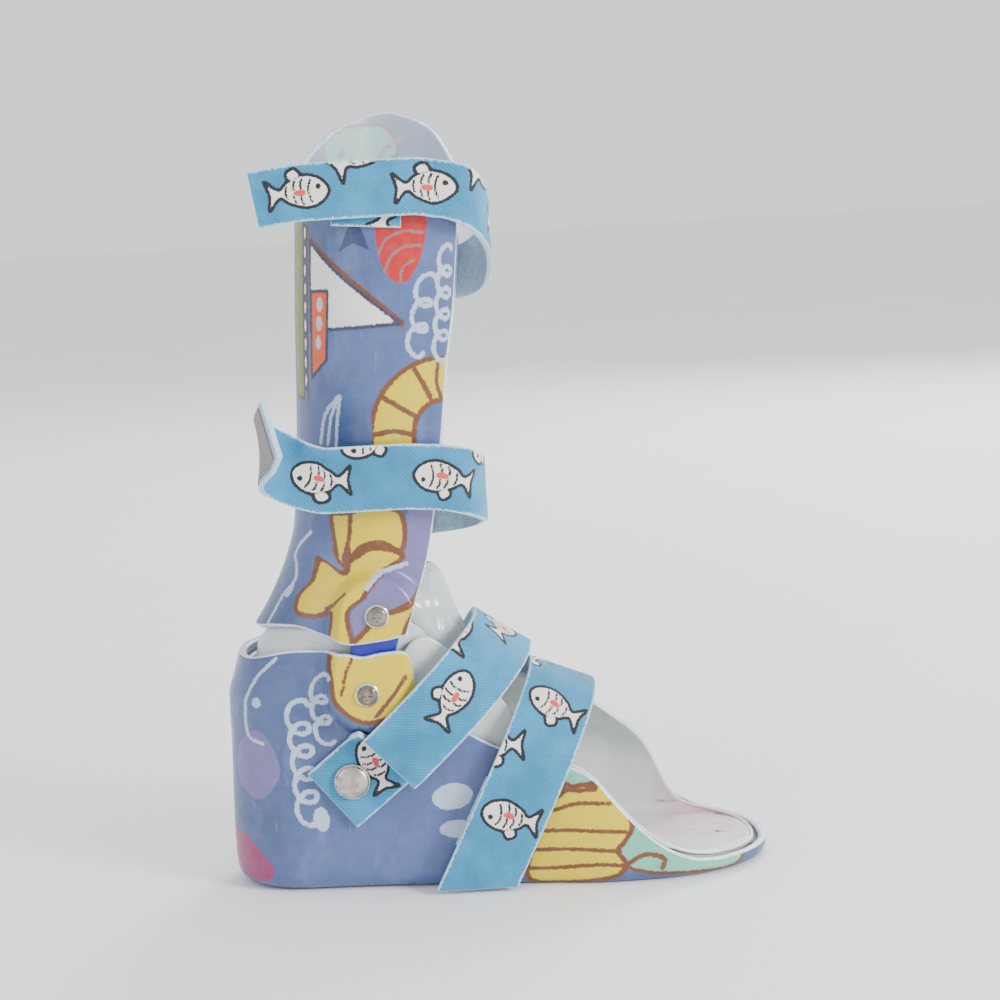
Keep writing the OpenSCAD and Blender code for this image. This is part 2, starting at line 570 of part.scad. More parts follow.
// Length and width of the tabs under the two calf straps
calf_tab = [26, 19];
module top_hook_tab() {
    color(strap_blue)
        lateral_tab([46.5, top_strap[2] - 4.5], calf_tab[0], calf_tab[1], -5, tab_t, calf_base);
}
module mid_hook_tab() {
    color(strap_blue) lateral_tab([38, mid_strap[2] + 1], calf_tab[0], calf_tab[1], 0, tab_t, calf_base);
}
module instep_hook_tab() {
    color(strap_blue) difference() {
        lateral_tab([28, 46.8], 28, 29, 39, strap_t, foot_base);
        across(instep_rivet_at, rivet_hole_r, -beyond, 0);
    }
}
module forefoot_hook_tab() {
    color(strap_blue) lateral_tab([80, 27], 30, 20, 63, tab_t, foot_base);
}
module instep_tab_rivet() {
    color("silver") rivet(instep_rivet_at, lateral, foot_wall(instep_rivet_at, lateral) - shell_t - 0.5,
        foot_base(instep_rivet_at[0], instep_rivet_at[2]) + clear + strap_t + 0.5,
        tab_cap[0], tab_cap[1]);
}
module instep_strap_flap() {
    color(strap_blue) foot_strap(instep, 0, instep_hinge - foot_gap, flap_rows, 0, strap_t, 0);
}
module instep_strap_band() {
    color(strap_blue) difference() {
        foot_strap(instep, instep_hinge + foot_gap, 4, band_rows, 0, strap_t, 0);
        across(instep_anchor_at, rivet_hole_r, 0, beyond);
    }
}
module instep_flap_hooks() {
    color(hook_grey) foot_strap(instep, 0.06, 0.7, pad_rows, -hook_t, hook_top, pad_inset);
}
module instep_strap_rivet() {
    color("silver") rivet(instep_anchor_at, medial, foot_wall(instep_anchor_at, medial) - shell_t - 0.7,
        instep[5] + strap_t + 0.3, strap_cap[0], strap_cap[1]);
}
// The outer end of this strap is cut level with the sole
forefoot_cut_z = 1.5;
module forefoot_strap_flap() {
    color(strap_blue) difference() {
        foot_strap(forefoot, -0.3, forefoot_hinge - foot_gap, flap_rows, 0, strap_t, 0);
        translate([0, -beyond, -beyond]) cube([toe_tip, beyond, beyond + forefoot_cut_z]);
    }
}
module forefoot_strap_band() {
    color(strap_blue) difference() {
        foot_strap(forefoot, forefoot_hinge + foot_gap, 4, band_rows, 0, strap_t, 0);
        across(forefoot_anchor_at, rivet_hole_r, 0, beyond);
    }
}
module forefoot_flap_hooks() {
    color(hook_grey) foot_strap(forefoot, 0.5, 1.1, pad_rows, -hook_t, hook_top, pad_inset);
}
module forefoot_rivets() {
    color("silver") rivet(forefoot_anchor_at, medial,
        foot_wall(forefoot_anchor_at, medial) - shell_t - 0.7, forefoot[5] + strap_t + 0.3,
        strap_cap[0], strap_cap[1]);
}

foot_shell();
calf_shell();
boot_liner();
boot_cuff();
boot_tongue();
flexure_lateral();
flexure_medial();
calf_joint_screws();
calf_cup_washers();
calf_joint_nuts();
foot_joint_screws();
foot_cup_washers();
foot_joint_nuts();
top_strap_band();
top_strap_flap();
top_hook_tab();
top_strap_rivets();
mid_strap_band();
mid_strap_flap();
mid_hook_tab();
mid_strap_rivets();
instep_strap_band();
instep_strap_flap();
instep_hook_tab();
instep_tab_rivet();
instep_strap_rivet();
forefoot_strap_band();
forefoot_strap_flap();
forefoot_hook_tab();
forefoot_rivets();
top_flap_hooks();
mid_flap_hooks();
instep_flap_hooks();
forefoot_flap_hooks();
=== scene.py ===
import math
from collections import namedtuple
import bpy
import numpy as np
from mathutils import Matrix, Vector


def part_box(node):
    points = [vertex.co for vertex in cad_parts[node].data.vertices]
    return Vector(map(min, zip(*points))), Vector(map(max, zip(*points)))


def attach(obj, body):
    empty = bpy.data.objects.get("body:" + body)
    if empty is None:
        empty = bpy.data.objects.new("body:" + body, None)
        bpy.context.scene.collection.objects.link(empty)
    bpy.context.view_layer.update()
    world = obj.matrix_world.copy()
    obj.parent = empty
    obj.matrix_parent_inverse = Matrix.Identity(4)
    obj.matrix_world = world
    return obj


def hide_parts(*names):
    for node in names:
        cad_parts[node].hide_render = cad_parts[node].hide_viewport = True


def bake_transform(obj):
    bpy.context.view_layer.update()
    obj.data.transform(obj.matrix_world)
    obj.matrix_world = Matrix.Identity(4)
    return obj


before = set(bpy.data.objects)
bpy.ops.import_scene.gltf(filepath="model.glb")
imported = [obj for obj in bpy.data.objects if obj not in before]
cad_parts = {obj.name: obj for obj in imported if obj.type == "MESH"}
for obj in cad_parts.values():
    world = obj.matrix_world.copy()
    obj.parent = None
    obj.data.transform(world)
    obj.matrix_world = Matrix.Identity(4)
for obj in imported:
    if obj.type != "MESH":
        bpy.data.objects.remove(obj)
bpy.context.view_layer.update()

# All shapes below are worked out in millimetres in the CAD frame, and scaled by MM into the scene.
MM = 0.001

# ---------------------------------------------------------------- camera, floor and light
CAMERA_ELEVATION = math.radians(8)
CAMERA_ROLL = math.radians(3.3)
CAMERA_DISTANCE = 0.8
CAMERA_AIM = Vector((0.0895, 0, 0.149))


def make_camera():
    forward = Vector((0, math.cos(CAMERA_ELEVATION), -math.sin(CAMERA_ELEVATION)))
    level_up = Vector((0, math.sin(CAMERA_ELEVATION), math.cos(CAMERA_ELEVATION)))
    side = Vector((1, 0, 0))
    right = side * math.cos(CAMERA_ROLL) - level_up * math.sin(CAMERA_ROLL)
    up = side * math.sin(CAMERA_ROLL) + level_up * math.cos(CAMERA_ROLL)
    data = bpy.data.cameras.new("camera")
    data.lens = 72
    data.sensor_width = 36
    camera = bpy.data.objects.new("camera", data)
    bpy.context.scene.collection.objects.link(camera)
    turn = Matrix((right, up, -forward)).transposed().to_4x4()
    camera.matrix_world = Matrix.Translation(CAMERA_AIM - forward * CAMERA_DISTANCE) @ turn
    bpy.context.scene.camera = camera


def area_light(name, place, size, watts, colour):
    data = bpy.data.lights.new(name, "AREA")
    data.shape = "DISK"
    data.size = size
    data.energy = watts
    data.color = colour
    light = bpy.data.objects.new(name, data)
    light.location = place
    light.rotation_euler = (CAMERA_AIM - Vector(place)).to_track_quat("-Z", "Y").to_euler()
    bpy.context.scene.collection.objects.link(light)


make_camera()

# ---------------------------------------------------------------- smooth curves, as in the CAD source


def curve(points, x):
    """A smooth curve through [position, value] points that never overshoots them."""
    p = np.asarray(points, float)
    x = np.asarray(x, float)
    step = np.diff(p[:, 0])
    rise = np.diff(p[:, 1]) / step
    slope = np.concatenate([rise[:1], np.zeros(len(p) - 2), rise[-1:]])
    same = rise[:-1] * rise[1:] > 0
    total = np.where(same, rise[:-1] + rise[1:], 1)
    slope[1:-1] = np.where(same, 2 * rise[:-1] * rise[1:] / total, 0)
    i = np.clip(np.searchsorted(p[:, 0], x, side="right") - 1, 0, len(p) - 2)
    s = np.clip((x - p[i, 0]) / step[i], 0, 1)
    e = s * s * (3 - 2 * s)
    bend = slope[i] * s * (1 - s) ** 2 - slope[i + 1] * s * s * (1 - s)
    return p[i, 1] * (1 - e) + p[i + 1, 1] * e + step[i] * bend


def ease(a, b, x):
    s = np.clip((np.asarray(x, float) - a) / (b - a), 0, 1)
    return s * s * (3 - 2 * s)


def round_off(s, n):
    return np.maximum(0, 1 - np.clip(s, 0, 1) ** n) ** (1 / n)


def power(v, n):
    return np.sign(v) * np.abs(v) ** n


def unit(v):
    return v / np.maximum(np.linalg.norm(v, axis=-1, keepdims=True), 1e-9)


# ---------------------------------------------------------------- sizes, as in the CAD source
TOE_TIP, SHELL_T, HEEL_HALF, ANKLE_HALF = 190, 3, 28, 33.5
HEEL_START, HEEL_POWER = 8, 2.2
TOE_START, MEDIAL_TOE_POWER, LATERAL_TOE_POWER = 140, 2.5, 2.1
DOME_POWER, DOME_ROOT = 2.6, 0.45
CALF_TOP, MEDIAL_RISE, CALF_HALF = 284, 22, 44
AXIS = np.array([37.0, 0, 97])
SCREW_PITCH, JOINT_LEAN, FLEXURE_T = 31, math.radians(10.7), 4.2
BOOT_T, BOOT_GAP = 2, 1.8
STRAP_T, TOP_WIDTH, MID_WIDTH, FOOT_WIDTH = 2.4, 21, 25, 29
LEAN = np.array([math.sin(JOINT_LEAN), 0, math.cos(JOINT_LEAN)])
LOWER_SCREW = AXIS - LEAN * SCREW_PITCH / 2
BOSS_OUT, BOSS_FLAT, BOSS_FOOT = ANKLE_HALF + 5.5, 13.4, 18.8
FLEXURE_OUT = BOSS_OUT - SHELL_T - 0.3

HEEL_LINE = [[0, -25], [14, -26], [60, -24.5], [78, -24], [86, -21.5], [96, -18.5]]
LATERAL_HALF = [[-30, 27], [8, 28], [30, 29], [60, 30.5], [100, 34], [125, 37.5], [145, 37], [200, 36]]
MEDIAL_HALF = [[-30, 27], [8, 28], [30, 29], [60, 30], [90, 35], [115, 40], [135, 41.5], [155, 41],
               [200, 40]]
LATERAL_DOME = [[40, 400], [60, 170], [80, 115], [100, 95], [125, 76], [150, 60], [195, 45]]
MEDIAL_DOME = [[40, 400], [60, 140], [77, 94], [90, 87], [101, 82], [115, 76], [127, 67.5],
               [137, 60], [150, 53], [165, 46], [195, 40]]
LATERAL_TRIM = [[-20, 95.5], [0, 99], [20, 98], [28, 96.5], [34, 97.5], [42, 98], [46.5, 96], [50, 84],
                [53, 78], [60, 70], [74, 60], [90, 52], [101, 47.5], [108, 47], [118, 42.5], [126, 33.5],
                [137, 21], [148, 12], [160, 7], [171, 6], [190, 6]]
MEDIAL_TRIM = [[-20, 95.5], [0, 99], [20, 98], [28, 96.5], [34, 97.5], [42, 98], [46.5, 96], [50, 86],
               [53, 81], [60, 75], [74, 66], [90, 59], [101, 55], [113, 51], [126, 41], [137, 30],
               [148, 20], [160, 12], [171, 8], [190, 6]]
BOOT_LATERAL_TRIM = [[-20, 92], [0, 93], [42, 93], [48, 99], [54, 101], [61, 97], [74, 85],
                     [85, 74], [95, 58], [103, 48.5], [110, 47.5], [118, 43.5], [126, 34.5],
                     [137, 22], [148, 13.5], [160, 9], [171, 7.5], [190, 7]]
BOOT_MEDIAL_TRIM = [[-20, 92], [0, 93], [42, 93], [48, 97], [54, 98], [61, 94], [77, 82],
                    [90, 79.5], [101, 77.5], [115, 73.5], [127, 65.5], [137, 56.5], [144, 46],
                    [149, 32], [154, 19], [160, 12], [168, 9.5], [180, 8], [190, 7]]
CALF_LINE = [[102, -14], [114, -6], [130, 2], [146, 7], [182, 10.5], [235, 13.5], [310, 19]]
CUFF_LINE = [[84, -19.8], [96, -16.5], [104, -12.8], [114, -6], [130, 2], [146, 7]]
FRONT_LINE = [[100, 48.5], [118, 54.8], [133, 59.6], [150, 63.2], [182, 68.3], [209, 72], [231, 75.8],
              [262, 79], [310, 80]]
CALF_HALF_LINE = [[98, ANKLE_HALF], [120, ANKLE_HALF], [150, 35.5], [182, 38.5], [231, CALF_HALF - 2.5],
                  [262, CALF_HALF - 1], [310, CALF_HALF]]
CALF_FOOT_LINE = [[-14, 105], [-5, 107.5], [2, 108], [21, 103.5], [30, 101.3], [42, 102.3], [50, 104]]
LATERAL_FALL = [[17, 3], [32, 0], [55, 0], [68, 1.5], [75, 6], [80, 14]]
MEDIAL_FALL = [[17, 10], [22, 5], [32, 1], [50, 0], [62, 3], [70, 8], [76, 17], [80, 26]]
SOLE_ROUND = [[-26, 8], [20, 8], [60, 6], [110, 4], [190, 4]]
TONGUE_LINE = [[70, 86], [88, 78], [97, 73.5], [107, 69], [116, 66], [122, 64], [126, 60]]
TONGUE_HALF = [[77, 7], [84, 14.5], [95, 19], [110, 20], [126, 11]]


# ---------------------------------------------------------------- surfaces of the shells
def bossed_wall(y, x, z):
    """The wall at y, drawn out to the flat of the joint boss."""
    px, pz = x - LOWER_SCREW[0], z - LOWER_SCREW[2]
    along = np.clip(px * LEAN[0] + pz * LEAN[2], 0, SCREW_PITCH)
    off = np.hypot(px - along * LEAN[0], pz - along * LEAN[2])
    return y + (BOSS_OUT - y) * (1 - ease(BOSS_FLAT, BOSS_FOOT, off))


def foot_wall(x, z, medial, bossed=True):
    base = np.where(medial, curve(MEDIAL_HALF, x), curve(LATERAL_HALF, x))
    ankle = (ANKLE_HALF - HEEL_HALF - 1.5) * ease(45, 92, z) * (1 - ease(50, 85, x))
    dome = np.where(medial, curve(MEDIAL_DOME, x), curve(LATERAL_DOME, x))
    half = (base + ankle) * np.maximum(0, 1 - (np.maximum(z, 0) / dome) ** DOME_POWER) ** DOME_ROOT
    heel = round_off((HEEL_START - x) / (HEEL_START - curve(HEEL_LINE, z)), HEEL_POWER)
    toe_way = (x - TOE_START) / (TOE_TIP - TOE_START)
    toe = np.where(medial, round_off(toe_way, MEDIAL_TOE_POWER), round_off(toe_way, LATERAL_TOE_POWER))
    y = half * np.where(x < HEEL_START, heel, toe)
    return bossed_wall(y, x, z) if bossed else y


def foot_surface(angle, z, bossed=True):
    """A point of the foot's outer surface: angle 0 is the toe tip, 90 the outer side, 180 the heel."""
    back = curve(HEEL_LINE, z)
    half = (TOE_TIP - back) / 2
    x = back + half + half * np.cos(np.radians(angle))
    medial = angle > 180
    y = foot_wall(x, z, medial, bossed)
    return np.stack([x, np.where(medial, y, -y), z], -1)


CALF_BACK_R, CALF_FRONT_R, CALF_REACH = 36, 60, 0.9


def calf_surface(s, z, bossed=True, line=CALF_LINE):
    """A point of the calf shell: s runs from -1, the outer front edge, round the back to 1."""
    back = curve(line, z)
    mid = back + CALF_BACK_R
    ahead = np.clip((curve(FRONT_LINE, z) - mid) / CALF_FRONT_R, -CALF_REACH, CALF_REACH)
    full = 90 + np.degrees(np.arcsin(ahead))
    turn = np.radians(s * full)
    radius = np.where(np.abs(turn) > math.pi / 2, CALF_FRONT_R, CALF_BACK_R)
    x = mid - radius * np.cos(turn)
    y = curve(CALF_HALF_LINE, z) * np.sin(np.abs(turn))
    y = bossed_wall(y, x, z) if bossed else y
    return np.stack([x, np.where(s < 0, -y, y), z + 0 * x], -1)


# ---------------------------------------------------------------- mesh building
def grid_normals(points, wrap, outward):
    """Normals of a grid of points, turned so that they point away from the point outward."""
    if wrap:
        ring = np.concatenate([points[-1:], points, points[:1]])
        along = ring[2:] - ring[:-2]
    else:
        along = np.gradient(points, axis=0)
    normal = unit(np.cross(along, np.gradient(points, axis=1)))
    away = np.sum(normal * (points - np.asarray(outward, float)), -1)
    return normal * (1 if np.median(away) > 0 else -1)


EDGE_STEPS = 5
EDGE_POWER = 0.5
END_ANGLES = (30, 60, 88)


class Solid:
    """A closed wall of even thickness from a grid of points on its outer face, with soft-cornered edges.
    A grid that wraps goes once round the foot, and its first column is the middle line of the sole.
    Each vertex keeps its place on the wall: u and v from the given maps, and side, which is 1 on the
    outer face, 0 on the cut edge and -1 on the inner face."""

    def __init__(self, name, points, normals, thick, u, v, wrap=False, edge=1.0, inner_step=1):
        n, m = points.shape[:2]
        mid = points - normals * thick / 2
        inner_rows = np.unique(np.concatenate([np.arange(0, m, inner_step), [m - 1]]))[::-1]
        parts, half, side, us, vs = [], [], [], [], []

        def add(p, offset, where, uu, vv):
            parts.append(p)
            half.append(np.full(p.shape[1], offset))
            side.append(np.full(p.shape[1], where))
            us.append(uu)
            vs.append(vv)

        def rim(at, before):
            along = np.gradient(mid[:, at], axis=0)
            if wrap:
                ring = np.concatenate([mid[-1:, at], mid[:, at], mid[:1, at]])
                along = ring[2:] - ring[:-2]
            out = unit(np.cross(normals[:, at], along))
            sign = np.sign(np.sum(out * (mid[:, at] - mid[:, before]), -1, keepdims=True))
            return out * np.where(sign == 0, 1, sign)

        def rim_rows(at, before, from_outer):
            out = rim(at, before)
            for k in range(1, EDGE_STEPS + 1):
                a = math.pi * k / (EDGE_STEPS + 1)
                c = power(math.cos(a), EDGE_POWER) * (1 if from_outer else -1) * thick / 2
                lift = edge * math.sin(a) ** EDGE_POWER
                p = mid[:, at] + normals[:, at] * c + out * lift
                add(p[:, None], c, 0.0, u[:, at][:, None], v[:, at][:, None])

        add(points, thick / 2, 1.0, u, v)
        rim_rows(-1, -2, True)
        inner = (mid - normals * thick / 2)[:, inner_rows]
        add(inner, -thick / 2, -1.0, u[:, inner_rows], v[:, inner_rows])
        if not wrap:
            rim_rows(0, 1, False)
        p = np.concatenate(parts, 1)
        grids = [p, np.tile(np.concatenate(side), (n, 1)), np.concatenate(us, 1), np.concatenate(vs, 1)]
        if not wrap:
            grids = self.round_ends(grids, np.concatenate(half), normals, inner_rows, edge)
        self.build(name, *grids, wrap)

    def round_ends(self, grids, half, normals, inner_rows, edge):
        """Stations added at both ends, which shrink towards the middle of the wall."""
        p, side, uu, vv = grids
        lists = [[p], [side], [uu], [vv]]
        for end, next_to_end in ((0, 1), (-1, -2)):
            out = unit(p[end] - p[next_to_end])
            n = normals[end]
            top = np.repeat(n[-1:], EDGE_STEPS, 0)
            low = np.repeat(n[:1], EDGE_STEPS, 0)
            full = np.concatenate([n, top, n[inner_rows], low])
            made = []
            for a in np.radians(END_ANGLES):
                shrunk = full * half[:, None] * (1 - math.cos(a) ** EDGE_POWER)
                made.append(p[end] - shrunk + out * (edge * math.sin(a) ** EDGE_POWER))
            count = len(made)
            added = (np.array(made), np.zeros((count, p.shape[1])),
                     np.repeat(uu[end][None], count, 0), np.repeat(vv[end][None], count, 0))
            for rows, grid in zip(lists, added):
                if end == 0:
                    rows.insert(0, grid[::-1])
                else:
                    rows.append(grid)
        return [np.concatenate(rows, 0) for rows in lists]

    def build(self, name, p, side, uu, vv, wrap):
        n, m = p.shape[:2]
        index = np.arange(n * m).reshape(n, m)
        if wrap:
            # The two halves of the sole share the vertices of its middle line
            half = n // 2
            index[half + 1:, 0] = index[1:half, 0][::-1]
            index[half + 1:, -1] = index[1:half, -1][::-1]
        rows = np.arange(n if wrap else n - 1)
        cols = np.arange(m - 1 if wrap else m)
        a = index[rows][:, cols]
        b = index[(rows + 1) % n][:, cols]
        c = index[(rows + 1) % n][:, (cols + 1) % m]
        d = index[rows][:, (cols + 1) % m]
        quads = np.stack([a, b, c, d], -1).reshape(-1, 4)
        # The two ends of an open grid are closed with one thin face each
        ends = [] if wrap else [index[0].tolist(), index[-1, ::-1].tolist()]
        used, compact = np.unique(quads, return_inverse=True)
        quads = compact.reshape(-1, 4)
        self.u = uu.reshape(-1)[used]
        self.v = vv.reshape(-1)[used]
        self.points = p.reshape(-1, 3)[used]
        first, second, third, fourth = (self.points[quads[:, k]] for k in range(4))
        volume = np.sum(first * (np.cross(second, third) + np.cross(third, fourth)))
        if volume < 0:
            quads = quads[:, ::-1]
            ends = [loop[::-1] for loop in ends]
        self.mesh = bpy.data.meshes.new(name)
        self.mesh.from_pydata((self.points * MM).tolist(), [], quads.tolist() + ends)
        self.mesh.polygons.foreach_set("use_smooth", np.ones(len(self.mesh.polygons), bool))
        self.object = bpy.data.objects.new(name, self.mesh)
        bpy.context.scene.collection.objects.link(self.object)
        self.store("side", side.reshape(-1)[used])
        self.store("u", self.u)
        self.store("v", self.v)

    def store(self, name, values):
        made = self.mesh.attributes.new(name, "FLOAT", "POINT")
        made.data.foreach_set("value", np.asarray(values, np.float32))

    def finish(self, material, slot, replaced=(), body=None):
        self.mesh.materials.append(material)
        if replaced:
            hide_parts(*replaced)
        if body:
            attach(self.object, body)
        return self.object


# ---------------------------------------------------------------- print: signed distances to drawn shapes
# A drawn shape is a closed area or a line of some width. Beyond FAR from it the distance is not worked out.
FAR = 8.0


def rounded(points, closed, steps=6):
    """A smooth line through the points."""
    p = np.asarray(points, float)
    if closed:
        ring = np.concatenate([p[-1:], p, p[:2]])
    else:
        ring = np.concatenate([2 * p[:1] - p[1:2], p, 2 * p[-1:] - p[-2:-1]])
    made = []
    for a, b, c, d in zip(ring[:-3], ring[1:-2], ring[2:-1], ring[3:]):
        for s in np.arange(steps) / steps:
            made.append(0.5 * (2 * b + (c - a) * s + (2 * a - 5 * b + 4 * c - d) * s ** 2
                               + (3 * b - a - 3 * c + d) * s ** 3))
    if not closed:
        made.append(p[-1])
    return np.array(made)


def to_segments(q, line):
    """Distance from each point q to the nearest stretch of the line."""
    best = np.full(len(q), 1e9)
    for a, b in zip(line[:-1], line[1:]):
        ab = b - a
        s = np.clip(((q - a) @ ab) / max(ab @ ab, 1e-9), 0, 1)
        best = np.minimum(best, np.hypot(*(q - a - s[:, None] * ab).T))
    return best


def inside(q, loop):
    hit = np.zeros(len(q), bool)
    for a, b in zip(loop, np.roll(loop, -1, 0)):
        cross = (a[1] > q[:, 1]) != (b[1] > q[:, 1])
        x = a[0] + (q[:, 1] - a[1]) * (b[0] - a[0]) / (b[1] - a[1] if b[1] != a[1] else 1e-9)
        hit ^= cross & (q[:, 0] < x)
    return hit


def sharp(*points):
    """A shape with straight sides."""
    return ("area", np.asarray(points, float))


def blob(*points):
    """A shape with a smooth outline through the points."""
    return ("area", rounded(points, True))


def oval(x, z, rx, rz, tilt=0):
    a = np.radians(np.arange(0, 360, 15))
    c, s = math.cos(math.radians(tilt)), math.sin(math.radians(tilt))
    px, pz = rx * np.cos(a), rz * np.sin(a)
    return ("area", np.stack([x + px * c - pz * s, z + px * s + pz * c], -1))


def stroke(r, *points):
    """A line with round ends, 2 r wide."""
    return ("line", rounded(points, False), r)


def curls(x0, z0, x1, z1, turns, r, width):
    """A chain of loops from one end to the other."""
    a = np.linspace(0, turns * 2 * math.pi, turns * 16 + 1)
    f = a / a[-1]
    x = x0 + (x1 - x0) * f + r * np.cos(a)
    z = z0 + (z1 - z0) * f + r * np.sin(a)
    return ("line", np.stack([x, z], -1), width)


def field(shapes, u, v):
    """Signed distance to the nearest of the shapes, negative inside."""
    q = np.stack([u, v], -1)
    best = np.full(len(q), FAR)
    for shape in shapes:
        line = shape[1]
        low, high = line.min(0) - FAR, line.max(0) + FAR
        near = np.all((q > low) & (q < high), 1)
        if not near.any():
            continue
        if shape[0] == "area":
            d = to_segments(q[near], np.concatenate([line, line[:1]]))
            d = np.where(inside(q[near], line), -d, d)
        else:
            d = to_segments(q[near], line) - shape[2]
        best[near] = np.minimum(best[near], d)
    return np.maximum(best, -FAR)


# ---------------------------------------------------------------- material graphs
class Graph:
    """A short way to write one material's nodes."""

    def __init__(self, name):
        self.material = bpy.data.materials.new(name)
        self.material.use_nodes = True
        self.tree = self.material.node_tree
        self.shader = self.tree.nodes["Principled BSDF"]

    def link(self, value, socket):
        if isinstance(value, bpy.types.NodeSocket):
            self.tree.links.new(value, socket)
        elif isinstance(value, (tuple, list)) and len(value) == 3 and len(socket.default_value) == 4:
            socket.default_value = (*value, 1)
        else:
            socket.default_value = value

    def attribute(self, name):
        node = self.tree.nodes.new("ShaderNodeAttribute")
        node.attribute_name = name
        return node.outputs["Fac"]

    def math(self, operation, a, b=0.0, c=0.0):
        node = self.tree.nodes.new("ShaderNodeMath")
        node.operation = operation
        for value, socket in zip((a, b, c), node.inputs):
            self.link(value, socket)
        return node.outputs[0]

    def mix(self, share, a, b):
        node = self.tree.nodes.new("ShaderNodeMix")
        node.data_type = "RGBA"
        self.link(share, node.inputs["Factor"])
        self.link(a, node.inputs[6])
        self.link(b, node.inputs[7])
        return node.outputs[2]

    def between(self, value, low, high, to_low=0.0, to_high=1.0):
        """value from low..high stretched to to_low..to_high, and held there."""
        node = self.tree.nodes.new("ShaderNodeMapRange")
        for socket, number in zip(node.inputs[:5], (value, low, high, to_low, to_high)):
            self.link(number, socket)
        return node.outputs[0]

    def place(self, stretch=(1, 1, 1)):
        """The point of the piece, in metres, stretched along each axis."""
        coordinates = self.tree.nodes.new("ShaderNodeTexCoord")
        node = self.tree.nodes.new("ShaderNodeVectorMath")
        node.operation = "MULTIPLY"
        self.tree.links.new(coordinates.outputs["Object"], node.inputs[0])
        node.inputs[1].default_value = stretch
        return node.outputs[0]

    def vector(self, x, y, z=0.0):
        node = self.tree.nodes.new("ShaderNodeCombineXYZ")
        for value, socket in zip((x, y, z), node.inputs):
            self.link(value, socket)
        return node.outputs[0]

    def noise(self, where, scale, detail=2.0, rough=0.5):
        node = self.tree.nodes.new("ShaderNodeTexNoise")
        self.link(where, node.inputs["Vector"])
        node.inputs["Scale"].default_value = scale
        node.inputs["Detail"].default_value = detail
        node.inputs["Roughness"].default_value = rough
        return node.outputs["Fac"]

    def spots(self, where, scale, detail, low, high, to_low=0.0, to_high=1.0, rough=0.5):
        """Noise, stretched from low..high to to_low..to_high."""
        return self.between(self.noise(where, scale, detail, rough), low, high, to_low, to_high)

    def sum(self, a, share_a, b, share_b):
        return self.math("ADD", self.math("MULTIPLY", a, share_a), self.math("MULTIPLY", b, share_b))

    def wave(self, where, scale, distortion=0.0):
        node = self.tree.nodes.new("ShaderNodeTexWave")
        self.link(where, node.inputs["Vector"])
        node.inputs["Scale"].default_value = scale
        node.inputs["Distortion"].default_value = distortion
        return node.outputs["Fac"]

    def bump(self, height, strength, distance):
        node = self.tree.nodes.new("ShaderNodeBump")
        node.inputs["Strength"].default_value = strength
        node.inputs["Distance"].default_value = distance
        self.link(height, node.inputs["Height"])
        self.tree.links.new(node.outputs[0], self.shader.inputs["Normal"])

    def set(self, **values):
        for name, value in values.items():
            self.link(value, self.shader.inputs[name.replace("_", " ")])
        return self.material


def srgb(*values):
    """A colour as seen, 0 to 255, as the linear numbers that shaders take."""
    made = []
    for value in values:
        c = value / 255
        made.append(c / 12.92 if c <= 0.04045 else ((c + 0.055) / 1.055) ** 2.4)
    return tuple(made)


# ---------------------------------------------------------------- the printed shells
BLUE, BLUE_DARK, BLUE_PALE = srgb(76, 97, 148), srgb(58, 77, 122), srgb(104, 124, 170)
YELLOW, OLIVE, MINT, LILAC = srgb(206, 182, 0), srgb(112, 118, 34), srgb(104, 180, 154), srgb(106, 100, 150)
BROWN, SLATE, NAVY, WHITE = srgb(104, 54, 14), srgb(44, 46, 74), srgb(30, 44, 92), srgb(222, 222, 218)
PALE = srgb(172, 186, 206)
RED, ORANGE, MAROON, LINE_GREY = srgb(176, 14, 8), srgb(214, 80, 4), srgb(140, 44, 96), srgb(120, 104, 104)
# Each layer of the print: its attribute, its colour, its outline's colour and the outline's half width
PRINT_LAYERS = [
    ("lilac", LILAC, LILAC, 0.1),
    ("mint", MINT, BROWN, 0.8),
    ("yellow", YELLOW, BROWN, 1.0),
    ("brown", BROWN, BROWN, 0.1),
    ("olive", OLIVE, SLATE, 0.5),
    ("white", WHITE, SLATE, 0.7),
    ("orange", ORANGE, SLATE, 0.7),
    ("red", RED, RED, 0.1),
    ("navy", NAVY, NAVY, 0.1),
    ("maroon", MAROON, MAROON, 0.1),
    ("loops", PALE, PALE, 0.1),
    ("lines", LINE_GREY, LINE_GREY, 0.1),
]

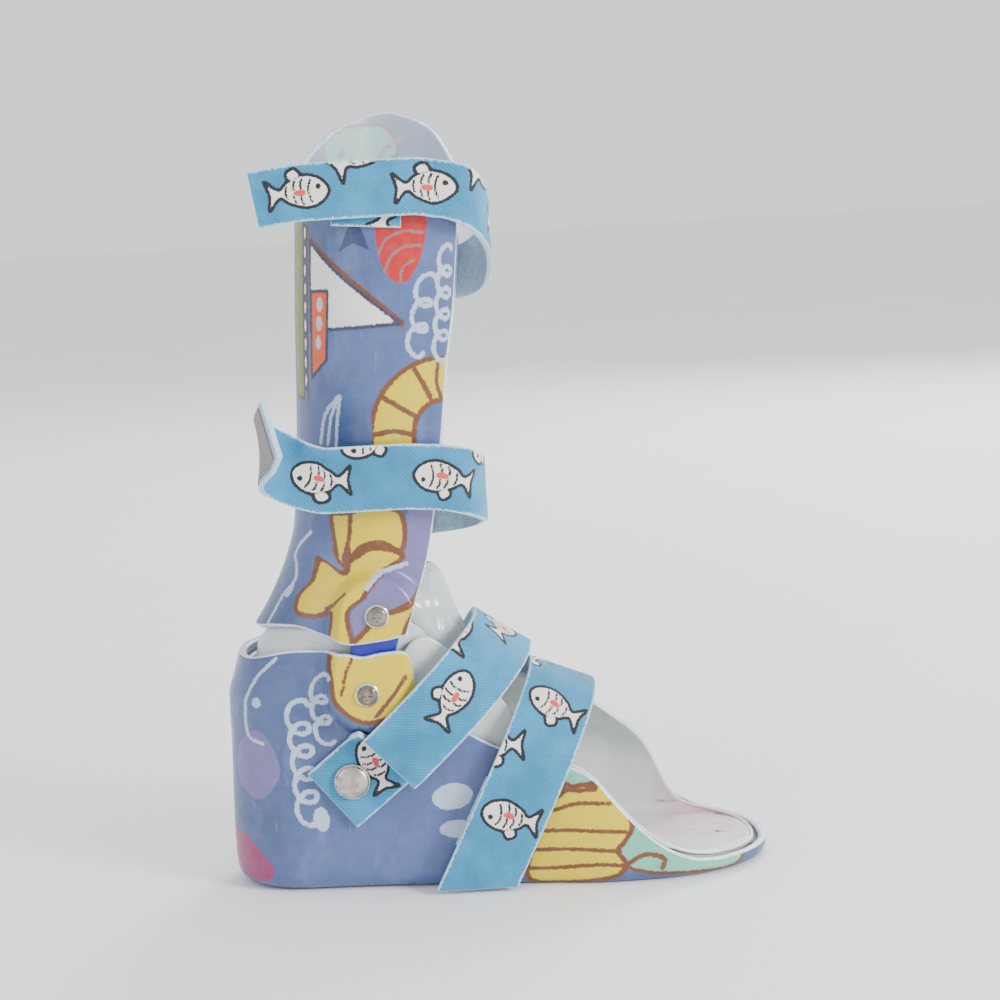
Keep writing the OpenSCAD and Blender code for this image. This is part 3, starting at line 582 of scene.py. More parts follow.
CALF_PRINT = {
    # The sail, the chain along the mast, and two clouds on the back
    "white": [
        sharp((13, 256), (53, 223.5), (24, 222.5), (13, 222)), oval(-48, 262, 9, 13, 12),
        oval(-44, 148, 9, 6, 20), *(oval(8.6, 259 - 7 * k, 1.5, 3.2) for k in range(9))],
    # The mast, and weed at the back
    "olive": [
        sharp((-7, 264), (6.8, 264), (6.8, 196), (-2, 196)),
        blob((-32, 142), (-24, 138), (-19, 128), (-24, 117), (-34, 120)), oval(-30, 176, 5, 9)],
    # The boat
    "orange": [
        sharp((13.5, 237), (23.5, 237), (22.5, 211), (13.5, 204))],
    # Bands across the long arms of the yellow figure, the folds of its body, and the stays of the mast
    "brown": [
        stroke(0.9, (69, 195), (67, 201), (68, 209)), stroke(0.9, (65, 193), (62, 199), (58, 206)),
        stroke(0.9, (58, 188), (52, 192), (46, 196)), stroke(0.9, (57, 181), (50, 183), (42, 182)),
        stroke(0.8, (30, 134), (35, 139), (43, 140), (51, 135)),
        stroke(0.8, (31, 151), (30, 143), (27, 134)), stroke(0.8, (16, 115), (20, 117), (23, 121)),
        stroke(0.8, (34, 106), (40, 112), (52, 115), (58, 122)), stroke(0.5, (11, 262), (10.6, 196)),
        stroke(1.4, (13.5, 256), (34, 240), (53, 223.5))],
    # A small fish, and marks at the back
    "navy": [
        sharp((34, 262), (37.5, 262), (41.5, 251.5), (35.5, 254.5), (29.5, 251.5)),
        blob((-50, 214), (-40, 218), (-34, 212), (-42, 208)), blob((-40, 196), (-36, 206), (-46, 204))],
    # The striped shell
    "red": [
        blob((44, 258), (48, 265), (56, 266), (63, 262), (61, 249), (57, 241), (53, 238.5), (47, 244))],
    # The banded figure
    "yellow": [
        stroke(8.2, (84, 203), (68, 202), (57, 198), (50, 188), (49, 172)),
        sharp((22, 152), (31, 152), (30, 140), (25, 128)),
        blob((31, 152), (50, 152), (51, 137), (43, 139), (36, 138), (30, 134)),
        blob((31, 134), (40, 138), (51, 134), (39, 127), (32, 121), (28, 113), (29, 100), (18, 100),
            (18.5, 113), (10, 112), (2, 114), (3, 121), (8, 129), (15, 134), (22, 128.5)),
        blob((29, 99), (46, 99), (51, 108), (59, 122), (50, 116), (42, 112), (34, 106)),
        oval(-42, 236, 13, 9, 30), stroke(4, (-34, 242), (-26, 250), (-20, 248))],
    # The shade behind the figure
    "lilac": [
        blob((38, 128), (51, 135), (54, 152), (66, 154), (70, 130), (62, 106), (50, 98), (34, 100),
            (30, 114)),
        blob((-54, 130), (-38, 134), (-32, 124), (-44, 116)), oval(-66, 296, 10, 8), oval(-42, 300, 8, 9)],
    # Inside the top of the calf
    "mint": [
        blob((-45, 299), (-48, 286), (-60, 282), (-76, 284), (-86, 290), (-80, 300), (-64, 301))],
    "maroon": [
        blob((-26, 292), (-32, 289), (-34, 278), (-20, 276))],
    # Chains of loops, blades of weed, a line with a bubble, and the portholes
    "loops": [
        curls(72, 250, 69, 210, 5, 3.6, 0.8), curls(63, 240, 58, 212, 3, 3.4, 0.75),
        stroke(0.7, (28, 197), (21, 190), (18, 179)), stroke(0.6, (28, 197), (24, 189), (22, 179)),
        stroke(0.6, (28.5, 197), (27, 188), (26, 178)),
        stroke(0.7, (11, 144), (2, 137), (-5, 124), (-14, 108)), oval(-5, 121, 2.2, 2.6),
        stroke(0.7, (33, 123), (40, 128), (52, 131)), oval(19, 232, 1.7, 2.8), oval(18.5, 225, 1.6, 2.8),
        oval(18, 217.5, 1.5, 2.6), curls(-52, 246, -56, 190, 6, 4, 0.8)],
    # Thin lines over the red shell, and marks inside the top of the calf
    "lines": [
        stroke(0.4, (45, 250), (48, 255), (54, 257.5), (62, 257)),
        stroke(0.4, (47, 243), (50, 249), (55, 252), (61, 252)),
        stroke(0.4, (53, 239), (54, 244), (58, 247)),
        stroke(0.9, (-38, 304), (-43, 298), (-46, 288), (-51, 282)),
        stroke(0.9, (-90, 296), (-80, 291), (-76, 284)), oval(-58, 290, 2.6, 1.8),
        stroke(0.5, (-64, 299), (-70, 300)), stroke(0.5, (-54, 298), (-60, 299))],
}
FOOT_PRINT = {
    # The foot of the figure, and the striped one at the toes
    "yellow": [
        blob((15, 98), (30, 104), (48, 101), (53, 88), (49, 78), (41, 72), (30, 71), (21, 78), (17, 87)),
        blob((93, 2), (97, 20), (101, 31), (112, 39), (126, 38), (134, 24), (131, 17), (128, 13),
            (131, 7), (122, 2)),
        blob((-96, 74), (-80, 80), (-72, 66), (-84, 56), (-98, 60))],
    # Its stripes and outlines
    "brown": [
        stroke(0.7, (90, 30), (103, 30), (113, 32.5), (126, 32)),
        stroke(0.7, (90, 21.5), (110, 22), (132, 20.5)),
        stroke(0.7, (90, 14), (104, 14.5), (118, 14), (129, 13)),
        stroke(0.7, (88, 7), (104, 7), (120, 8), (131, 7)),
        stroke(0.8, (104, 40), (112, 37.5), (119, 38)), oval(119, 39, 2.4, 2.2),
        stroke(0.9, (131, 7.5), (139, 11), (146, 9), (145, 5)),
        stroke(0.6, (24, 98), (22, 90), (22, 82)), stroke(0.8, (46, 88), (42, 80), (36, 73))],
    "mint": [
        blob((98, 56), (103, 44), (112, 39), (120, 36), (128, 38), (124, 60)),
        blob((133, 28), (131, 18), (128, 13), (131, 7), (139, 4), (152, 2.5), (178, 2), (178, 14),
            (150, 30))],
    "lilac": [
        blob((-24, 60), (-12, 66), (-4, 50), (-14, 38), (-26, 46))],
    "maroon": [
        blob((-36, 21), (-24, 23), (-14, 16), (-9, 9), (-14, 4), (-30, 6)),
        blob((-64, 88), (-54, 92), (-52, 82), (-60, 80))],
    "orange": [
        blob((-128, 54), (-114, 60), (-106, 48), (-118, 40))],
    "red": [
        oval(-60, 62, 8, 10, 20)],
    "navy": [
        blob((-80, 26), (-68, 30), (-64, 20), (-76, 16))],
    "loops": [
        curls(4, 77, 7, 30, 5, 4.4, 0.85), curls(12, 88, 15, 62, 3, 3.4, 0.75), oval(64, 37, 8, 5.2, 8),
        oval(65, 24, 6.5, 3.4, 4), stroke(0.7, (-8, 96), (-16, 87), (-19, 74), (-18, 64), (-11, 61)),
        oval(-13, 78, 2.1, 2.1), curls(-60, 56, -56, 12, 6, 4, 0.8), oval(12, 30, 3, 5, 10)],
}
CALF_REPEAT, FOOT_REPEAT = 107, 262


def paint(solid, shapes, repeat, layers):
    """Stores each layer's distances on the piece. The print comes round again after repeat millimetres."""
    for name in layers:
        drawn = shapes.get(name, [])
        one = field(drawn, solid.u, solid.v)
        solid.store(name, np.minimum(one, field(drawn, solid.u + repeat, solid.v)) if repeat else one)


def print_colour(g, base, layers, wobble, soft):
    """The drawn layers over the ground colour, with slightly uneven edges."""
    colour = base
    for name, fill, line, width in layers:
        d = g.math("ADD", g.attribute(name), wobble)
        colour = g.mix(g.between(d, width + soft, width - soft), colour, line)
        colour = g.mix(g.between(d, -width + soft, -width - soft), colour, fill)
    return colour


PRINT_WOBBLE, PRINT_SOFT = 0.28, 0.22


def shell_material(name, layers):
    """Print under a satin gloss. The inside shows it through the milky sheet, and the cut edges are pale."""
    g = Graph(name)
    where = g.place()
    wobble = g.spots(where, 900, 2, 0.3, 0.7, -PRINT_WOBBLE, PRINT_WOBBLE)
    cloud = g.noise(where, 26, 3, 0.5)
    ground = g.mix(g.between(cloud, 0.35, 0.66), BLUE_DARK, BLUE)
    pale = g.spots(g.place((1, 1, 0.45)), 70, 4, 0.55, 0.75, 0, 0.6, 0.65)
    colour = print_colour(g, g.mix(pale, ground, BLUE_PALE), layers, wobble, PRINT_SOFT)
    # Ink of uneven strength, and fine pale rubs where the sheet was drawn over the mould
    uneven = g.spots(where, 240, 4, 0.45, 0.75, 0, 0.05, 0.6)
    colour = g.mix(uneven, colour, srgb(176, 186, 212))
    rubs = g.spots(g.place((1, 1, 0.12)), 420, 3, 0.66, 0.8, 0, 0.18, 0.7)
    colour = g.mix(rubs, colour, srgb(196, 204, 220))
    dirt = g.spots(where, 120, 3, 0.62, 0.8, 0, 0.3, 0.6)
    colour = g.mix(dirt, colour, srgb(66, 74, 104))
    side = g.attribute("side")
    milky = g.mix(g.between(cloud, 0.3, 0.7), srgb(206, 214, 220), srgb(190, 199, 212))
    washed = g.mix(0.48, colour, milky)
    colour = g.mix(g.between(side, 0.0, -0.6), colour, washed)
    cut = g.math("SUBTRACT", 1.0, g.math("ABSOLUTE", side))
    cut_edge = g.mix(g.spots(where, 500, 3, 0.35, 0.65), srgb(176, 186, 222), srgb(228, 231, 240))
    colour = g.mix(g.between(cut, 0.25, 0.7), colour, cut_edge)
    roughness = g.spots(where, 160, 4, 0.3, 0.7, 0.24, 0.42, 0.6)
    g.bump(g.sum(g.noise(where, 60, 3), 0.8, g.noise(where, 700, 2), 0.2), 0.25, 0.0012)
    return g.set(Base_Color=colour, Roughness=roughness, IOR=1.49, Coat_Weight=0.15, Coat_Roughness=0.18,
                 Subsurface_Weight=0.04, Subsurface_Radius=(0.004, 0.004, 0.005))


SOLE_ROWS, CORNER_ROWS = 9, 8
SOLE_CENTRE_X, SOLE_CENTRE_REACH = 80, 0.86
TRIM_LEVEL, PRINT_LEVEL, PRINT_START_X = 20, 30, 40


def foot_grid(lateral_trim, medial_trim, bossed, stations, wall_rows, rounder=0):
    """Points over the foot, from the middle of the sole, round its corner and up the wall, and the
    print's u and v there: u is the way round the foot and v the height. rounder widens the corner."""
    angle = np.arange(stations) * 360 / stations
    trim_x = foot_surface(angle, np.full(stations, TRIM_LEVEL), False)[:, 0]
    top = np.where(angle <= 180, curve(lateral_trim, trim_x), curve(medial_trim, trim_x)) - 1
    corner = curve(SOLE_ROUND, trim_x)
    corner = np.maximum(corner, np.minimum(corner + rounder, top - 0.6))
    ahead = foot_surface((angle + 1) % 360, np.full(stations, 8.0), False)
    behind = foot_surface((angle - 1) % 360, np.full(stations, 8.0), False)
    tangent = ahead - behind
    out = unit(np.stack([-tangent[:, 1], tangent[:, 0], 0 * angle], -1))
    rim = foot_surface(angle, corner, bossed)
    out *= np.sign(np.sum(out * (rim - [SOLE_CENTRE_X, 0, 0]), -1, keepdims=True))
    fillet = []
    for t in np.radians(np.linspace(0, 90, CORNER_ROWS)):
        inward = out * (corner * (1 - math.sin(t)))[:, None]
        up = np.stack([0 * corner, 0 * corner, corner * (1 - math.cos(t))], -1)
        fillet.append(rim * [1, 1, 0] - inward + up)
    foot = fillet[0]
    mirror = foot[(-np.arange(stations)) % stations]
    centre = (foot + mirror) / 2
    centre[:, 0] = SOLE_CENTRE_X + (centre[:, 0] - SOLE_CENTRE_X) * SOLE_CENTRE_REACH
    rows, heights = [], []
    for f in np.arange(SOLE_ROWS) / SOLE_ROWS:
        rows.append(centre + (foot - centre) * f)
        heights.append(-np.linalg.norm(foot - centre, axis=1) * (1 - f))
    for p in fillet:
        rows.append(p)
        heights.append(p[:, 2])
    for f in (np.arange(1, wall_rows + 1) / wall_rows) ** 0.9:
        z = corner + (top - corner) * f
        rows.append(foot_surface(angle, z, bossed))
        heights.append(z)
    points = np.stack(rows, 1)
    level = foot_surface(angle, np.full(stations, PRINT_LEVEL), False)
    step = np.linalg.norm(np.diff(np.concatenate([level, level[:1]]), axis=0), axis=1)
    way = np.concatenate([[0], np.cumsum(step)[:-1]])
    at = np.interp(PRINT_START_X, level[:stations // 2, 0][::-1], way[:stations // 2][::-1])
    u = np.repeat((PRINT_START_X + at - way)[:, None], points.shape[1], 1)
    return points, u, np.stack(heights, 1)


def foot_normals(points):
    normals = grid_normals(points, True, (80, 0, 40))
    normals[:, :SOLE_ROWS + 1] = (0, 0, -1)
    return normals


def make_foot_shell(material):
    points, u, v = foot_grid(LATERAL_TRIM, MEDIAL_TRIM, True, 480, 72)
    solid = Solid("foot_shell_printed", points, foot_normals(points), SHELL_T, u, v, wrap=True, inner_step=2)
    paint(solid, FOOT_PRINT, FOOT_REPEAT, [layer[0] for layer in PRINT_LAYERS])
    solid.finish(material, "printed_shell", ["foot_shell"], "foot")


def calf_grid(low, high, stations, rows, spread, line=CALF_LINE, bossed=True, reach=lambda z: 1):
    """Points and print positions over the calf, from the line low(s) up to high(s). reach(z) is the
    share of the way round the calf that the piece covers at a height."""
    s = np.linspace(-1, 1, stations)[:, None]
    f = np.linspace(0, 1, rows)[None, :] ** spread
    z = low(s) + (high(s) - low(s)) * f
    points = calf_surface(np.repeat(s, rows, 1) * reach(z), z, bossed, line)
    level = np.linalg.norm(np.diff(points, axis=0), axis=2)
    way = np.concatenate([np.zeros((1, rows)), np.cumsum(level, 0)])
    u = points[:1, :, 0] - way
    return points, u, z


def calf_low(s):
    return curve(CALF_FOOT_LINE, calf_surface(s, 103 + 0 * s, False)[..., 0]) + 1


def calf_high(s):
    x = calf_surface(s, CALF_TOP + 0 * s, False)[..., 0]
    m = ease(-0.35, 0.75, s)
    return CALF_TOP - curve(LATERAL_FALL, x) * (1 - m) + (MEDIAL_RISE - curve(MEDIAL_FALL, x)) * m - 1


def make_calf_shell(material):
    points, u, v = calf_grid(calf_low, calf_high, 260, 200, 1.15)
    normals = grid_normals(points, False, (40, 0, 190))
    solid = Solid("calf_shell_printed", points, normals, SHELL_T, u, v, inner_step=2)
    paint(solid, CALF_PRINT, CALF_REPEAT, [layer[0] for layer in PRINT_LAYERS])
    solid.finish(material, "printed_shell", ["calf_shell"], "calf")


# ---------------------------------------------------------------- the soft boot and its tongue
def milky_material(name, colour, shade, roughness, transmission, folds=0.0):
    """Soft clouded plastic. Where the piece's "blush" is above 0, the print under it shows through pink."""
    g = Graph(name)
    where = g.place()
    base = g.mix(g.spots(where, 45, 4, 0.35, 0.68, rough=0.6), colour, shade)
    blush = g.math("MULTIPLY", g.attribute("blush"), g.spots(where, 60, 2, 0.3, 0.6, 0.3, 1))
    base = g.mix(blush, base, srgb(206, 176, 182))
    marks = g.spots(g.place((1, 1, 0.3)), 260, 3, 0.62, 0.8, 0, 0.4, 0.65)
    base = g.mix(marks, base, srgb(246, 248, 248))
    rough = g.spots(where, 200, 3, 0.3, 0.7, roughness - 0.06, roughness + 0.08)
    relief = g.sum(g.noise(where, 30, 3), 1, g.noise(where, 420, 2), 0.08)
    creases = g.spots(g.place((1, 1, 0.16)), 95, 2, 0.3, 0.7)
    g.bump(g.sum(relief, 1, creases, folds), 0.35, 0.002)
    return g.set(Base_Color=base, Roughness=rough, IOR=1.5, Subsurface_Weight=0.2,
                 Subsurface_Radius=(0.006, 0.0065, 0.007), Transmission_Weight=transmission,
                 Coat_Weight=0.2, Coat_Roughness=0.15)


HEEL_GAP, BOOT_ROUNDER = 0.5, 7
CUFF_FOOT, CUFF_TOP = 86, 127


def make_boot(material):
    depth = SHELL_T + BOOT_GAP
    points, u, v = foot_grid(BOOT_LATERAL_TRIM, BOOT_MEDIAL_TRIM, False, 300, 44, BOOT_ROUNDER)
    normals = foot_normals(points)
    # It lies close to the shell at the heel, and stands further in where the calf shell moves past it
    close = (BOOT_GAP - HEEL_GAP) * (1 - ease(28, 44, points[..., :1]))
    inner = points - normals * (depth - close)
    inner[..., 2] = np.maximum(inner[..., 2], SHELL_T + 0.3)
    solid = Solid("boot_liner_soft", inner, normals, BOOT_T, u, v, wrap=True, inner_step=2)
    x, y = solid.points[:, 0], solid.points[:, 1]
    solid.store("blush", ease(142, 158, x) * ease(-16, 6, y))
    solid.finish(material, "soft_boot", ["boot_liner"], "foot")
    points, u, v = calf_grid(lambda s: CUFF_FOOT + 0 * s, lambda s: CUFF_TOP + 0 * s, 110, 30, 1, CUFF_LINE,
                             False, lambda z: 0.9 + 0.2 * (1 - ease(98, 114, z)))
    normals = grid_normals(points, False, (30, 0, 105))
    inner = points - normals * depth
    # Soft creases round the ankle, where the boot folds as the ankle bends
    where = ease(CUFF_FOOT, 92, v) * (1 - ease(108, 116, v))
    crease = 0.35 * np.sin((v - 88) * 0.75 + 0.9 * np.sin(u * 0.06)) * where
    solid = Solid("boot_cuff_soft", inner + normals * crease[..., None], normals, BOOT_T, u, v)
    cuff = solid.finish(material, "soft_boot", ["boot_cuff"])
    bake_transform(cuff)


TONGUE_FOOT, TONGUE_TOP, TONGUE_T = 77.5, 125.5, 1.3
TONGUE_SIDE, TONGUE_DEPTH, TONGUE_WINGS = 1.4, 17, 24


def make_tongue(material):
    """A curved sheet: its front is round where side is -1 to 1, and flat wings run back beyond that."""
    side = np.linspace(-TONGUE_SIDE, TONGUE_SIDE, 90)[:, None]
    z = np.linspace(TONGUE_FOOT, TONGUE_TOP, 60)[None, :] + 0 * side
    round_part = np.clip(side, -1, 1)
    turn = np.radians(80 * round_part)
    y = curve(TONGUE_HALF, z) * np.sin(turn)
    wing = (np.abs(side) - np.abs(round_part)) * (0.05 + 0.95 * ease(80, 92, z))
    back = TONGUE_DEPTH * (1 - np.cos(turn)) + TONGUE_WINGS * wing
    # Long folds that fan out from the instep
    fold = 0.9 * np.sin(side * 13 + 0.05 * (z - 80)) * (1 - (side / TONGUE_SIDE) ** 2) * ease(78, 96, z)
    x = curve(TONGUE_LINE, z) - back + fold - 0.6
    points = np.stack([x, y, z], -1)
    normals = grid_normals(points, False, (40, 0, 90))
    solid = Solid("boot_tongue_clear", points, normals, TONGUE_T, y, z, edge=0.5)
    solid.finish(material, "clear_tongue", ["boot_tongue"], "foot")


# ---------------------------------------------------------------- straps
HOOK_T, TAB_T, CLEAR = 0.6, 1.6, 0.3
LATERAL_STAND, MEDIAL_STAND = CLEAR + TAB_T + CLEAR + HOOK_T, 2 * CLEAR
# A calf strap runs back from its edge line at x = edge to x = end, where it curls by turn degrees and ends
# in a straight tail. The other way it bulges ahead of the shin and goes back to x = medial_end.
CalfStrap = namedtuple("CalfStrap", "edge bulge z fall end medial_end width turn turn_r tail rise")
TOP_STRAP = CalfStrap(72, 17.5, 274, 36, 5.5, 40, TOP_WIDTH, 0, 10, 0, -2)
MID_STRAP = CalfStrap(62, 20, 166, 22, 12, 32, MID_WIDTH, 115, 10.5, 9, 23)
# A foot strap goes over the top point (x, z) and down both sides at these leans, in degrees
FootStrap = namedtuple(
    "FootStrap", "x z lean medial_lean half medial_half drop medial_drop tail medial_tail width press")
INSTEP = FootStrap(87.9, 97.7, 43, 64, 40, 33, 43, 38, 18.6, 6, FOOT_WIDTH - 1.4, 1.5)
FOREFOOT = FootStrap(111, 78.4, 63, 70, 37.4, 38.5, 62, 36, 22.5, 5, FOOT_WIDTH - 0.6, 0)
RISE_X, RISE_POWER, ARCH, FRONT_ROUND = 24, 1.4, 0.87, 0.6
FOREFOOT_CUT_Z, CUT_REACH = 2.0, 40


def wall_y(x, z, stand):
    """How far out the calf's side wall is at x and z, plus stand."""
    mid = curve(CALF_LINE, z) + CALF_BACK_R
    ahead = np.maximum(x - mid, 0) / CALF_FRONT_R
    return curve(CALF_HALF_LINE, z) * np.sqrt(np.maximum(0, 1 - ahead ** 2)) + stand


def calf_strap_point(k, t):
    """The strap's path: t from 0 to 1 is its outer side, to 2 its front, and to 3 its medial side."""
    run = k.edge - k.end
    arc = k.turn_r * k.turn * math.pi / 180
    length = run + arc + k.tail
    wall_z = k.z + 0.45 * k.width
    fall = k.z - k.fall * ease(0.85, 2.1, t)
    s = length * (1 - t)
    beyond = np.maximum(0, s - run)
    turn = np.minimum(beyond, arc) / k.turn_r
    tail = np.maximum(0, beyond - arc)
    x = np.maximum(k.edge - s, k.end)
    low = k.edge - RISE_X
    up = k.rise * (np.maximum(0, s - low) / (length - low)) ** RISE_POWER
    curl = k.turn_r * (1 - np.cos(turn)) + tail * np.sin(turn)
    first = np.stack([x - k.turn_r * np.sin(turn) - tail * np.cos(turn),
                      -wall_y(x, wall_z, LATERAL_STAND) - curl, fall + up], -1)
    a = np.pi * (t - 1)
    y0 = wall_y(k.edge, wall_z, LATERAL_STAND)
    y1 = wall_y(k.edge, wall_z - k.fall, MEDIAL_STAND)
    c = power(np.cos(a), FRONT_ROUND)
    ahead = k.edge + k.bulge * power(np.maximum(np.sin(a), 0), FRONT_ROUND)
    second = np.stack([ahead, -np.where(c > 0, y0, y1) * c, fall], -1)
    x3 = k.edge - (k.edge - k.medial_end) * (t - 2)
    third = np.stack([x3, wall_y(x3, wall_z - k.fall, MEDIAL_STAND), fall], -1)
    return np.where((t < 1)[:, None], first, np.where((t < 2)[:, None], second, third))


def calf_strap_frame(k, t):
    """The path's points, the outward normals and the directions across the strap."""
    here = calf_strap_point(k, t)
    run = unit(calf_strap_point(k, np.minimum(t + 0.02, 3)) - calf_strap_point(k, np.maximum(t - 0.02, 0)))
    n = unit(np.stack([run[:, 1], -run[:, 0], 0 * t], -1))
    return here, n, np.cross(n, run)


def foot_strap_lean(k, t):
    return np.radians(k.lean + (k.medial_lean - k.lean) * ease(1.5, 2.6, t))


def foot_strap_point(k, t):
    """The strap's path: t from 0 to 2 is its outer side, to 4 its medial side. The top is at 2."""
    rise, fall = (np.pi / 2 * np.clip(t - start, 0, 1) for start in (1, 2))
    down = np.where(t < 1, k.drop + k.tail * (1 - t),
                    np.where(t < 2, k.drop * (1 - power(np.sin(rise), ARCH)),
                             np.where(t < 3, k.medial_drop * (1 - power(np.cos(fall), ARCH)),
                                      k.medial_drop + k.medial_tail * (t - 3)))) + STRAP_T
    y = np.where(t < 1, -k.half,
                 np.where(t < 2, -k.half * power(np.cos(rise), ARCH),
                          np.where(t < 3, k.medial_half * power(np.sin(fall), ARCH), k.medial_half)))
    a = foot_strap_lean(k, t)
    pressed = k.press * (1 - ease(0, 0.35, t))
    return np.stack([k.x - down * np.cos(a), y + pressed, k.z - down * np.sin(a)], -1)


def foot_strap_frame(k, t):
    """The path's points, the outward normals and the directions across the strap."""
    run = unit(foot_strap_point(k, t + 0.01) - foot_strap_point(k, t - 0.01))
    a = foot_strap_lean(k, t)
    across = np.stack([-np.sin(a), 0 * a, np.cos(a)], -1)
    return foot_strap_point(k, t), unit(np.cross(run, across)), across


def even_steps(frame_of, k, start, end, step):
    """Values of t that lie step apart along the strap, and the way along it at each."""
    t = np.linspace(start, end, 900)
    p = frame_of(k, t)[0]
    way = np.concatenate([[0], np.cumsum(np.linalg.norm(np.diff(p, axis=0), axis=1))])
    even = np.linspace(0, way[-1], max(int(way[-1] / step), 2))
    return np.interp(even, way, t), even


def motif(x, z, turn):
    """A plain striped fish, about 24 by 13 mm: its white parts, its dark lines and its coral fin."""
    c, s = math.cos(math.radians(turn)), math.sin(math.radians(turn))

    def put(points):
        return [(x + px * c - pz * s, z + px * s + pz * c) for px, pz in points]

    body = blob(*put([(11, 0), (8, 4.4), (2, 6), (-4, 4), (-7.5, 1.6), (-12, 5.5), (-11, 0), (-12, -5.5),
                      (-7.5, -1.6), (-4, -4), (2, -6), (8, -4.4)]))
    fin = blob(*put([(1, 5.5), (-1, 8.6), (-4, 7), (-3, 4.2)]))
    ink = [stroke(0.42, *put(line)) for line in (
        [(4.4, 4.2), (3.4, 1.5), (3.6, -1.5), (4.6, -4)], [(1.4, 4.6), (0.6, 2.6), (0.7, 1)],
        [(-1.2, 4), (-2, 2.2), (-1.9, 0.6)], [(1.4, -4.8), (0.6, -3), (0.6, -1.6)],
        [(-1.4, -3.9), (-2.1, -2.4), (-2, -1)], [(-4.4, 2.2), (-5, 0), (-4.4, -2.2)])]
    eye = blob(*put([(8.2, 1.6), (7.1, 2.7), (6, 1.6), (7.1, 0.5)]))
    coral = blob(*put([(0.6, 0.6), (2.4, 0), (1.4, -1.6), (-1.4, -1.2), (-1.8, 0.3)]))
    return [body, fin], ink + [eye], [coral]


MOTIF_PITCH = 46.5


def strap_shapes(length, half, first, turns, second_row):
    """A row of fish along the middle, and a second row that the strap's edge cuts off."""
    shapes = {"white": [], "ink": [], "coral": []}
    for i in range(int(length / MOTIF_PITCH) + 2):
        whole = (first + MOTIF_PITCH * i, 0.3, turns[i % len(turns)])
        partial = (first + MOTIF_PITCH * (i + second_row), half + 3.4, turns[(i + 1) % len(turns)] + 30)
        for place in (whole, partial):
            for name, drawn in zip(shapes, motif(*place)):
                shapes[name] += drawn
    return shapes


INK = srgb(22, 20, 24)
STRAP_LAYERS = [("white", srgb(232, 226, 222), INK, 0.62), ("ink", INK, INK, 0.05),
                ("coral", srgb(214, 72, 66), srgb(214, 72, 66), 0.05)]


def strap_material():
    """Knitted loop cloth on thin foam: a printed face, a fine diagonal weave and a pale cut edge."""
    g = Graph("printed_strap")
    where = g.place()
    u, v, side, half = (g.attribute(name) for name in ("u", "v", "side", "half"))
    thread_a = g.wave(g.vector(g.math("ADD", u, v), 0.0), 0.21, 0.5)
    thread_b = g.wave(g.vector(g.math("SUBTRACT", u, v), 0.0), 0.33, 0.5)
    weave = g.sum(thread_a, 0.65, thread_b, 0.35)
    ground = g.mix(g.spots(where, 60, 4, 0.35, 0.65, rough=0.6), srgb(40, 124, 166), srgb(54, 148, 192))
    ground = g.mix(g.between(weave, 0.35, 0.9, 0, 0.35), ground, srgb(30, 100, 140))
    threads = g.between(weave, 0, 1, -0.06, 0.06)
    wobble = g.math("ADD", g.spots(where, 1600, 2, 0.3, 0.7, -0.16, 0.16), threads)
    colour = print_colour(g, ground, STRAP_LAYERS, wobble, 0.12)
    colour = g.mix(g.between(weave, 0.5, 1.0, 0, 0.16), colour, srgb(30, 78, 108))
    # Pale threads stand out along the cut edges
    to_edge = g.math("SUBTRACT", half, g.math("ABSOLUTE", v))
    frayed = g.math("ADD", to_edge, g.spots(where, 900, 3, 0.3, 0.7, -0.5, 0.5, 0.7))
    colour = g.mix(g.between(frayed, 0.45, 0.05, 0, 0.6), colour, srgb(206, 228, 238))
    foam = g.mix(g.noise(where, 1500, 2), srgb(150, 198, 220), srgb(206, 224, 232))
    cut = g.math("SUBTRACT", 1.0, g.math("ABSOLUTE", side))
    colour = g.mix(g.between(cut, 0.3, 0.7), colour, foam)
    lining = g.mix(g.spots(where, 500, 3, 0.35, 0.65), srgb(150, 178, 204), srgb(176, 200, 220))
    colour = g.mix(g.between(side, -0.3, -0.8), colour, lining)
    g.bump(g.sum(weave, 0.7, g.noise(where, 2600, 2), 0.5), 0.6, 0.0005)
    return g.set(Base_Color=colour, Roughness=0.82, Sheen_Weight=0.12, Sheen_Roughness=0.5)


def hook_material():
    """Hook tape: rows of stiff brown-grey hooks on a woven ground."""
    g = Graph("hook_tape")
    rows = g.wave(g.vector(g.attribute("u"), 0.0), 0.33, 0.6)
    hooks = g.math("MULTIPLY", rows, g.spots(g.place(), 1300, 2, 0.35, 0.6))
    colour = g.mix(g.between(hooks, 0.1, 0.7), srgb(120, 118, 122), srgb(168, 156, 146))
    g.bump(hooks, 0.7, 0.0005)
    return g.set(Base_Color=colour, Roughness=0.6, Sheen_Weight=0.1)


def cut_level(points, u, height):
    """A strap whose start is cut off level at a height. The points up to CUT_REACH along it are drawn
    together to make room."""
    way = u[:, 0]
    near = way.searchsorted(CUT_REACH)
    points, u = points.copy(), u.copy()
    for j in range(points.shape[1]):
        first = np.interp(height, points[:near, j, 2], way[:near])
        moved = np.where(way < CUT_REACH, first + (CUT_REACH - first) * way / CUT_REACH, way)
        points[:, j] = np.stack([np.interp(moved, way, points[:, j, axis]) for axis in range(3)], -1)
        u[:, j] = moved
    return points, u


